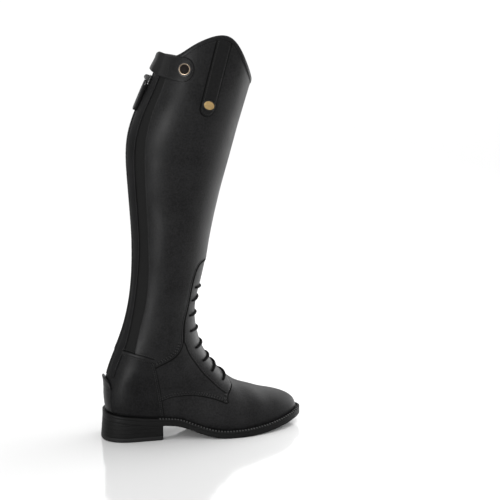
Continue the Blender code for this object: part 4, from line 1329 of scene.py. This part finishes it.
def build_lace():
    """Lace in its crossings, the lateral runs over the medial ones, and the rims of its holes."""
    cords, rims = [], []
    next_row = EYELETS[0][0] + 0.85
    for row, reach, climb in EYELETS:
        for side, middle in ((-1, 0.9), (1, -1.7)):
            cords.append(tube(lace_path(row, (next_row - row) * climb, side * reach, middle), LACE_RADIUS))
            rims.append(hole_rim(row, float(angle_from(row, side * reach, math.pi))))
        next_row = row
    make_piece("lace_cord", *joined(cords), [CORD], nodes=["lace"], slot="waxed_cord", crease=60)
    make_piece("lace_hole_rims", *joined(rims), [STRAP])


# Straps, snap and badge

def over_zip(points):
    """Rise of the snap strap where it crosses the zip."""
    near_back = 1 - smoothstep(points[:, 0] - back_x(points[:, 2]), 8, 22)
    rise = 3.2 + 1.8 * (1 - smoothstep(points[:, 2], 484, 500))
    return rise * (1 - smoothstep(np.abs(points[:, 1]), 6, 18)) * near_back


def build_snap_strap():
    """Strap over the top of the zip, with a round end on the lateral side and a sewn end on the medial."""
    tip, end_round, end_half, top_half, low_half, medial = 65.6, 13.0, 15.3, 14.0, 10.8, 20.0
    centre = tip - end_round
    sewn_from = 28

    def spot(reach, rise_share):
        """Row and angle at a distance round the back and a share of the strap's half height."""
        share = np.clip(reach / centre, 0, 1)
        beyond = np.clip((reach - centre) / end_round, 0, 1)
        back_half = top_half if rise_share > 0 else low_half
        half = (back_half + (end_half - back_half) * share) * math.sqrt(1 - beyond ** 2)
        rise = rise_share * half - 5.0 * max(rise_share, 0) * smoothstep(8.0 - reach, 0, 20)
        row = float(row_at_z(493.8 - 3.3 * share + rise))
        return row, float(angle_from(row, -(reach - 0.33 * share * rise), 0))

    straight = np.linspace(-medial, centre, 50)
    bend = centre + end_round * np.sin(np.linspace(0, math.pi / 2, 16)[1:])
    lower = [spot(reach, -1) for reach in np.r_[straight, bend]]
    upper = [spot(reach, 1) for reach in np.r_[straight, bend[:-1]]]
    sewn_end = [spot(-medial, share) for share in np.linspace(0.85, -0.85, 12)]
    loop = np.array(lower + upper[::-1] + sewn_end)
    top = above(over_zip, SNAP_STRAP_THICK)
    form = panel_form(loop, above(over_zip, 0.1), top, spacing=3.0, edge=1.2, passes=2)
    make_piece("snap_strap_leather", *form, [STRAP], nodes=["snap_strap"])
    outline = np.array(lower[sewn_from:] + upper[:sewn_from - 1:-1])
    stitch(beside(run(outline), 1.9), top)
    for reach in (3.5, 29.0, 31.5, 2 - medial):
        stitch(run(np.array([spot(reach, share) for share in np.linspace(-0.86, 0.86, 10)])), top)
    build_snap(surface_axes(*spot(54.0, 0.03), SNAP_STRAP_THICK))


def build_snap(axes):
    """Ring, flange and cap of the snap; profiles are a radius and a height."""
    ring = turned_ring(axes, [(5.7, 0.3), (5.7, 1.4), (5.95, 1.9), (6.5, 2.2), (7.0, 2.1), (7.4, 1.6),
                              (7.5, 0.9), (7.5, -0.1), (5.7, -0.1)])
    make_piece("snap_ring_brass", *ring, [BRONZE], nodes=["snap_ring"], slot="antique_brass")
    # The flange's black is partly painted shade round the snap ring.
    flange = turned_ring(axes, [(7.5, -0.2), (7.5, 0.55), (8.3, 0.6), (8.9, 0.4), (9.1, -0.2)])
    make_piece("snap_flange", *flange, [ENAMEL_AND_SHADE], slot="black_enamel")
    cap = turned_cap(axes, [(5.65, -0.2), (5.65, 0.3), (5.3, 0.6), (4.6, 0.5), (3.6, 0.5), (3.2, 0.8),
                            (2.0, 1.0), (0.8, 1.05)], count=40)
    make_piece("snap_cap_enamel", *cap, [SNAP_HEART], nodes=["snap_cap"], slot="black_enamel")


def build_badge_strap():
    """Strap from the collar's peak down the lateral shaft, with a round end."""
    lean = math.radians(15.6)
    along = np.array([math.sin(lean), math.cos(lean)])
    across = np.array([along[1], -along[0]])
    tip = np.array([135.7, 432.6])
    half = 9.4
    turn = np.linspace(0, math.pi, 26)[1:-1]
    round_end = tip + half * along + np.outer(np.cos(turn) * half, across)
    round_end = round_end - np.outer(np.sin(turn) * half, along)
    length = np.linspace(half, 96.5, 56)
    right = tip + np.outer(length, along) + half * across
    left = tip + np.outer(length + 3.2, along) - half * across
    loop = places(np.vstack([right[::-1], round_end, left]))
    loop[:, 0] = np.minimum(loop[:, 0], row_at_z(collar_z(loop[:, 1]) - 2.0))
    form = panel_form(loop, 0.12, BADGE_STRAP_THICK, spacing=3.0, edge=1.1, passes=2)
    make_piece("badge_strap_leather", *form, [STRAP], nodes=["badge_strap"])
    make_piece("badge_strap_edge", *ridge_form(beside(run(loop), 0.5), 0.7, 0.1, 0.75), [BLACK_EDGE_AND_SHADE])
    stitch(beside(run(loop[4:-4]), -1.9), BADGE_STRAP_THICK)
    row, angle = places([tip + 13.8 * along])[0]
    build_badge(surface_axes(row, angle, BADGE_STRAP_THICK + 0.05))


def build_badge(axes):
    """Plain oval plate in a dark rim; profiles are a share of the half sizes and a height."""
    rim = turned_ring(axes, [(1.0, -0.2), (1.0, 0.9), (0.96, 1.3), (0.88, 1.4), (0.82, 1.2), (0.8, 0.6),
                             (0.8, -0.2)], BADGE_HALF)
    make_piece("badge_rim", *rim, [ENAMEL_AND_SHADE], slot="black_enamel")
    face = turned_cap(axes, [(0.795, -0.1), (0.795, 1.0), (0.74, 1.22), (0.66, 1.1), (0.6, 1.1), (0.52, 1.3),
                             (0.3, 1.42), (0.1, 1.46)], BADGE_HALF)
    make_piece("badge_plate", *face, [BRASS], nodes=["badge"], slot="antique_brass")


# Back of the heel

def heel_stay_form(across):
    """Back stay of the heel, thinner along its side edges."""
    levels = np.linspace(40.0, HEEL_STAY_TOP - 0.2, 16)
    grid = np.array([back_places(z, -HEEL_STAY_HALF * across) for z in levels]).reshape(-1, 2)
    edge_room = (1 - np.abs(np.tile(across, len(levels)))) * HEEL_STAY_HALF
    edge = np.minimum(1, np.minimum(edge_room / 0.8, 1) + 0.25)
    return sheet_form(grid, len(levels), HEEL_BED + 0.02 + 1.1 * edge, HEEL_BED)


def spur_ledge_form(across):
    """Ledge over the stay; its profile is a share of its height and a thickness, both less towards its ends."""
    height = LEDGE_TALL * np.sqrt(np.clip(1 - np.abs(across) ** 2.4, 0.02, 1))
    taper = np.maximum(1 - 0.62 * across ** 2, 0.3)
    profile = [
        (0, 0.0), (0, 1.2), (0.05, 1.6), (0.3, 2.0), (0.6, 3.1), (0.85, 4.6), (0.95, 5.2), (1.0, 5.0),
        (1.03, 4.2), (1.0, 3.2), (0.93, 2.6), (0.9, 0.4), (0.6, 0.0), (0.3, 0.0),
    ]
    layers = []
    for share, thick in profile:
        row, angle = back_places(HEEL_STAY_TOP + share * height, -HEEL_STAY_HALF * across).T
        layers.append(upper_offset(row, angle, HEEL_BED + thick * taper))
    return outwards(*lofted(np.array(layers).transpose(1, 0, 2)))


def build_heel_back():
    across = np.linspace(-1, 1, 41)
    make_piece("heel_stay", *heel_stay_form(across), [CALF], nodes=["heel_strap"])
    make_piece("spur_ledge", *spur_ledge_form(across), [CALF], nodes=["spur_rest"])
    stitch(run(back_places(HEEL_STAY_TOP + 2.0, -HEEL_STAY_HALF * np.linspace(-0.93, 0.93, 15))), 1.75)
    for side in (-1, 1):
        stitch(run(back_places(np.linspace(42, HEEL_STAY_TOP - 1, 8), side * (HEEL_STAY_HALF - 1.8))), 1.5)


# Zip

def build_zip():
    """Tape up the back with two rows of teeth."""
    heights = np.linspace(88, 480, 110)
    reach = np.linspace(-6.2, 6.2, 9)
    grid = np.array([back_places(z, reach) for z in heights]).reshape(-1, 2)
    tape = sheet_form(grid, len(heights), 0.45, -0.1)
    item = make_piece("zip_tape", *tape, [TAPE], nodes=["zip_chain"], slot="zip_tape")
    store_across(item, np.array([vert.co[1] for vert in item.data.vertices]) * 1000)
    fine = np.linspace(88, 472, 260)
    rows = []
    for side, shift in ((-1, 0.0), (1, ZIP_TOOTH[0] / 2)):
        row, angle = back_places(fine + shift, side * 1.15).T
        rows.append((upper_offset(row, angle, 0.85), upper_normal(row, angle)))
    bead_rows("zip_coil", rows, ZIP_TOOTH, COIL)


def hinge_frame(lean_less):
    """Matrix from the pull's own millimetres to the boot: x into the shaft, y along the axis, z up the back."""
    slope = float(back_x(HINGE_Z + 1) - back_x(HINGE_Z - 1)) / 2
    lean = math.atan(slope)
    x = float(back_x(HINGE_Z)) - HINGE_PROUD * math.cos(lean)
    z = HINGE_Z + HINGE_PROUD * math.sin(lean)
    return Matrix.Translation(Vector((x, 0, z))) @ Matrix.Rotation(lean - lean_less, 4, "Y")


def placed(matrix, form):
    points, faces = form
    return [tuple(matrix @ Vector(point)) for point in points], faces


def rounded_plate(outline, low, high, bevel):
    """Flat form with softened edges: outline in y and z, thickness in x."""
    outline = np.asarray(outline, float)
    along = unit(np.roll(outline, -1, axis=0) - np.roll(outline, 1, axis=0))
    inward = np.column_stack([-along[:, 1], along[:, 0]])
    area = (outline[:, 0] * np.roll(outline[:, 1], -1) - np.roll(outline[:, 0], -1) * outline[:, 1]).sum()
    inward = inward * np.sign(area)
    loops = []
    for x, inset in ((low, bevel), (low + 0.3 * bevel, 0.3 * bevel), (low + bevel, 0), (high - bevel, 0),
                     (high - 0.3 * bevel, 0.3 * bevel), (high, bevel)):
        ring = outline + inset * inward
        loops.append(np.column_stack([np.full(len(ring), x), ring]))
    return outwards(*lofted(loops))


def rounded_box(half_y, half_z, round_by, drop=0.0):
    """Outline of a rounded rectangle in y and z, moved down by a distance."""
    points = []
    for quarter, (sy, sz) in enumerate(((1, 1), (-1, 1), (-1, -1), (1, -1))):
        for step in np.linspace(0, math.pi / 2, 8):
            turn = quarter * math.pi / 2 + step
            points.append((sy * (half_y - round_by) + round_by * math.cos(turn),
                           sz * (half_z - round_by) + round_by * math.sin(turn) - drop))
    return points


def build_slider():
    """Slider's plate on the teeth, with two ears for the pull."""
    top = HINGE_PROUD - GAP - TEETH_HEIGHT - TEETH_ROOM
    forms = [rounded_plate(rounded_box(4.5, 5.6, 1.8, drop=2.0), top - 2.0, top, 0.6)]
    for middle in (-2.6, 2.6):
        points, faces = rounded_plate(rounded_box(3.5, 3.5, 3.4), middle - 0.55, middle + 0.55, 0.3)
        forms.append((np.array([(x - 0.3, y, z - 0.8) for y, z, x in points]), faces))
    slider = placed(hinge_frame(0), joined(forms))
    make_piece("slider_body", *outwards(*slider), [NICKEL], nodes=["zip_slider"], slot="dark_nickel")


def build_puller():
    """Metal link of the pull: a barrel between the ears, a neck and a ring."""
    turn = 2 * math.pi * np.arange(18) / 18
    loops = []
    for share in np.linspace(-1, 1, 13):
        girth = 2.9 * math.sqrt(1 - 0.8 * share * share)
        loops.append([(girth * math.cos(a), 1.95 * share, girth * math.sin(a)) for a in turn])
    side = [(1.5, 0.2), (1.5, -5.0), (2.6, -6.2)]
    neck = rounded_plate(side + [(-y, z) for y, z in side[::-1]], -0.7, 0.7, 0.3)
    section = 2 * math.pi * np.arange(10) / 10
    sections = []
    for angle in np.linspace(0, 2 * math.pi, 41)[:-1]:
        outward = np.array([0, math.sin(angle), math.cos(angle)])
        centre = np.array([0, 3.6 * math.sin(angle), -9.0 + 3.6 * math.cos(angle)])
        wire = np.outer(np.cos(section), outward) + np.outer(np.sin(section), (1, 0, 0))
        sections.append(centre + 0.95 * wire)
    puller = placed(hinge_frame(TAB_REST), joined([lofted(loops), neck, ring_form(sections)]))
    make_piece("puller_link", *puller, [NICKEL], nodes=["zip_puller"], body="zip_pull", slot="dark_nickel")


def build_pull_tab():
    """Leather tab folded round the link's ring, sewn on both faces."""
    swing = hinge_frame(TAB_REST)
    start, low, end_round = -4.6, -40.1, 5.2
    side = [(2.6, start), (3.6, start - 3.5), (4.3, start - 10), (5.0, start - 20), (end_round, low)]
    bend = np.linspace(0, math.pi / 2, 9)[1:]
    side += [(end_round * math.cos(a), low - end_round * math.sin(a)) for a in bend]
    outline = side + [(-y, z) for y, z in side[-2::-1]]
    fold = rounded_plate(rounded_box(3.4, 5.4, 1.5, drop=13.6), 1.8, 3.5, 0.5)
    tab = joined([rounded_plate(outline, TAB_BACK, TAB_FRONT, 0.7), fold])
    make_piece("pull_tab_leather", *placed(swing, tab), [STRAP], nodes=["pull_tab"], body="zip_pull")
    rows = []
    for face, way in ((TAB_BACK, -1), (TAB_FRONT, 1)):
        line = [swing @ Vector((face, y * 0.72, z * 0.985 - 0.3)) for y, z in outline[2:-2]]
        out = swing.to_3x3() @ Vector((way, 0, 0))
        rows.append((np.array([point[:] for point in line]), np.tile(np.array(out[:]), (len(line), 1))))
    bead_rows("pull_tab_stitches", rows, TAB_STITCH, THREAD, body="zip_pull")


# Sole

def sole_loops(profile):
    """Rings of the sole; profile rows are a distance from its edge and a height over the tread."""
    loops = []
    for inset, height in profile:
        line = sole_line(inset, 220)
        loops.append(np.column_stack([line, tread_z(line[:, 0]) + height]))
    return np.array(loops)


def build_welt():
    low = WELT_LOW
    profile = [(0.15, low), (0.02, low + 0.2), (0.0, low + 1.8), (0.1, low + 2.9), (0.6, low + 3.5),
               (1.4, low + 3.7), (5.0, low + 3.62), (8.2, low + 3.5), (8.2, low)]
    welt = ring_form(sole_loops(profile).transpose(1, 0, 2))
    make_piece("welt_strip", *welt, [SOLE_EDGE], nodes=["welt"], slot="sole_leather")


def sole_cap(ring, height):
    """Face across a closed ring of the sole, following the tread's curve."""
    flat = ring[:, :2]
    field = np.array([(x, y) for x in np.arange(8, 272, 6.0) for y in np.arange(-45, 46, 6.0)])
    field = clear_inside(field, flat, 3)
    edges = [(j, (j + 1) % len(ring)) for j in range(len(ring))]
    corners = [Vector(point) for point in np.vstack([flat, field])]
    found, _, faces, _, _, _ = delaunay_2d_cdt(corners, edges, [], 1, 1e-6)
    spots = np.array([point[:] for point in found])
    return np.column_stack([spots, tread_z(spots[:, 0]) + height]), [tuple(face) for face in faces]


def build_outsole():
    """Sole plate with its arch and toe spring; the tread has a finish of its own."""
    loops = sole_loops([(0.5, 0.0), (0.15, 0.12), (0.0, 0.5), (0.0, 2.0), (0.0, 4.4), (0.05, 5.4), (0.2, 5.6)])
    edge = loops.reshape(-1, 3), grid_faces(*loops.shape[:2], closed=True)
    points, faces = outwards(*joined([edge, sole_cap(loops[0], 0.0), sole_cap(loops[-1], OUTSOLE_THICK)]))
    low = points[:, 2] < tread_z(points[:, 0]) + 0.15
    tread = [int(low[list(face)].all()) for face in faces]
    make_piece("outsole_plate", points, faces, [SOLE_EDGE, TREAD], nodes=["outsole"], slot="sole_leather",
               marks=tread)


def build_notches():
    """Wheeled notches and stitches on the welt, from one side of the breast round the toe to the other, with
    black dots of painted shade between them.
    """
    line = sole_line(1.7, 1400)
    line = np.roll(line, -int(np.argmin(line[:, 0])), axis=0)
    line = line[line[:, 0] > HEEL_BREAST_X - 4]
    out = np.tile((0.0, 0.0, 1.0), (len(line), 1))
    rows = [(np.column_stack([line, tread_z(line[:, 0]) + (WELT_LOW + 3.6) + 0.2]), out)]
    bead_rows("welt_notches", rows, WELT_NOTCH, WELT_THREAD_AND_HIGHLIGHT)
    # Black dots between the notches: painted shade in the hollows.
    bead_rows("welt_hollow_shade", between(rows, WELT_HOLLOW_SHADE), WELT_HOLLOW_SHADE, BLACK_EDGE_AND_SHADE)


def heel_loop(z_of_x, inset):
    """Closed line of the heel at one height: round the back between the breasts, then across the hollow front."""
    lateral, medial, start, _, _ = inset_edge(inset)
    breast = HEEL_BREAST_X - inset
    turn = np.linspace(0, math.pi / 2, 36)
    x_side = start + (breast - start) * (1 - np.cos(turn))
    x = np.r_[x_side[::-1], x_side[1:]]
    y = np.r_[lateral(x_side)[::-1], medial(x_side)[1:]]
    across = np.linspace(y[-1], y[0], 22)[1:-1]
    middle = (y[0] + y[-1]) / 2
    spread = (y[-1] - y[0]) / 2
    front = breast - BREAST_HOLLOW * (1 - ((across - middle) / spread) ** 2)
    x = np.r_[x, front]
    y = np.r_[y, across]
    z = z_of_x(x)
    step = np.clip((x - start) / (breast - start), 0, 1)
    flare = HEEL_FLARE * (1 - step) * (1 - np.clip(z / float(tread_z(start)), 0, 1))
    return np.column_stack([x - flare, y, z])


def lift_z(share):
    """Height in the heel stack as a function of x, at a share of the way up to the sole."""
    low = TOP_PIECE_HEIGHT + 0.1
    return lambda x: low + (tread_z(x) - 0.15 - low) * share


def level_z(z):
    return lambda x: np.full_like(x, z)


def build_heel():
    """Heel stack and its wearing piece, through loops at a height and a distance from the heel's edge."""
    levels = [(0, 0.4), (0.02, 0.1), (0.06, 0.0), (0.5, 0.1), (0.96, 0.0), (0.99, 0.05), (1, 0.2)]
    stack = lofted([heel_loop(lift_z(share), inset) for share, inset in levels])
    make_piece("heel_block", *outwards(*stack), [HEEL_EDGE], nodes=["heel_stack"], slot="sole_leather")
    levels = [(0.0, 1.2), (0.25, 0.45), (0.9, 0.05), (5.2, 0.0), (5.7, 0.15), (5.95, 0.5)]
    piece = lofted([heel_loop(level_z(z), inset) for z, inset in levels])
    make_piece("heel_wear_piece", *outwards(*piece), [RUBBER], nodes=["heel_top_piece"], slot="rubber")


# Stage, in metres

def build_floor():
    reach = 12.0
    corners = [(-reach, -reach, 0), (reach, -reach, 0), (reach, reach, 0), (-reach, reach, 0)]
    mesh = bpy.data.meshes.new("floor")
    mesh.from_pydata(corners, [], [(0, 1, 2, 3)])
    floor = add_object("floor", mesh)
    finish = {"Roughness": 0.1, "Base_Color": (*grey(0.52), 1), "Specular_IOR_Level": 1.0}
    material, _, _ = new_material("pale_floor", **finish)
    mesh.materials.append(material)


def build_lights():
    """White surroundings, a broad light from above and soft boxes."""
    bpy.context.scene.view_settings.view_transform = "Standard"
    world = bpy.data.worlds.new("studio")
    bpy.context.scene.world = world
    world.use_nodes = True
    background = world.node_tree.nodes["Background"]
    background.inputs["Color"].default_value = (1, 1, 1, 1)
    background.inputs["Strength"].default_value = 1.36
    sky = bpy.data.lights.new("overhead_light", "SUN")
    sky.energy = 0.3
    sky.angle = math.radians(75)
    overhead = add_object("overhead_light", sky)
    overhead.rotation_euler = (math.radians(-8), math.radians(5), 0)
    # Soft boxes: place, aim, width and height, power in watts
    for name, place, aim, size, power in (
        ("front_strip", (1.4, 0.45, 0.3), (0.1, 0, 0.2), (1.0, 0.8), 18),
        ("top_box", (0.55, 0.0, 1.4), (0.17, 0.0, 0.05), (0.4, 0.3), 5),
        ("floor_glow", (0.52, 0.3, 0.35), (0.52, 0.3, 0.0), (0.4, 0.6), 2.6),
        ("rear_strip", (-1.35, -1.75, 0.4), (0.0, 0, 0.25), (0.5, 0.9), 44),
    ):
        lamp = bpy.data.lights.new(name, "AREA")
        lamp.shape = "RECTANGLE"
        lamp.size, lamp.size_y = size
        lamp.energy = power
        item = add_object(name, lamp)
        item.visible_camera = False
        item.location = place
        item.rotation_euler = (Vector(aim) - Vector(place)).to_track_quat("-Z", "Y").to_euler()


def build_camera():
    """Camera at the photo's angle: degrees round the boot, millimetres, and a focal length in pixels."""
    azimuth, pan, tilt = -11.0, -1.8731, -14.8433
    centre_x, distance, height = 130, 2200.0, 830.0
    focal, image_width, sensor_width = 1750.17, 500, 36.0
    around = math.radians(azimuth)
    place = np.array([centre_x + distance * math.sin(around), -distance * math.cos(around), height])
    turn = math.radians(azimuth + pan)
    nod = math.radians(tilt)
    forward = Vector((-math.sin(turn) * math.cos(nod), math.cos(turn) * math.cos(nod), math.sin(nod)))
    right = Vector((math.cos(turn), math.sin(turn), 0))
    upward = right.cross(forward)
    data = bpy.data.cameras.new("photo_view")
    data.sensor_width = sensor_width
    data.lens = focal / image_width * sensor_width
    data.clip_end = 100
    camera = add_object("photo_view", data)
    turned_by = Matrix((right, upward, -forward)).transposed().to_4x4()
    camera.matrix_world = Matrix.Translation(Vector(to_metres(place))) @ turned_by
    bpy.context.scene.camera = camera


def dress_nodes():
    """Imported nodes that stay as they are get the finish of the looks."""
    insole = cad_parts["insole"]
    insole.data.materials.clear()
    insole.data.materials.append(LINING)


build_camera()
build_floor()
build_lights()
build_shell()
build_counter()
build_quarters()
build_lace_stay()
build_shaft()
build_shaft_rim()
build_painted_seam_shade()
build_zip_strip()
build_elastic()
build_counter_seam()
sew_panels()
build_collar()
build_tongue()
build_lace()
build_snap_strap()
build_badge_strap()
build_heel_back()
build_zip()
build_slider()
build_puller()
build_pull_tab()
build_welt()
build_outsole()
build_notches()
build_heel()
bead_rows("fine_stitches", FINE_STITCHES, FINE_STITCH, THREAD)
bead_rows("bold_stitches", BOLD_STITCHES, BOLD_STITCH, THREAD)
# Black dots between the bold stitches: painted shade in the stitch holes.
bead_rows("stitch_hole_shade", between(BOLD_STITCHES, STITCH_HOLE_SHADE), STITCH_HOLE_SHADE, BLACK_EDGE_AND_SHADE)
dress_nodes()
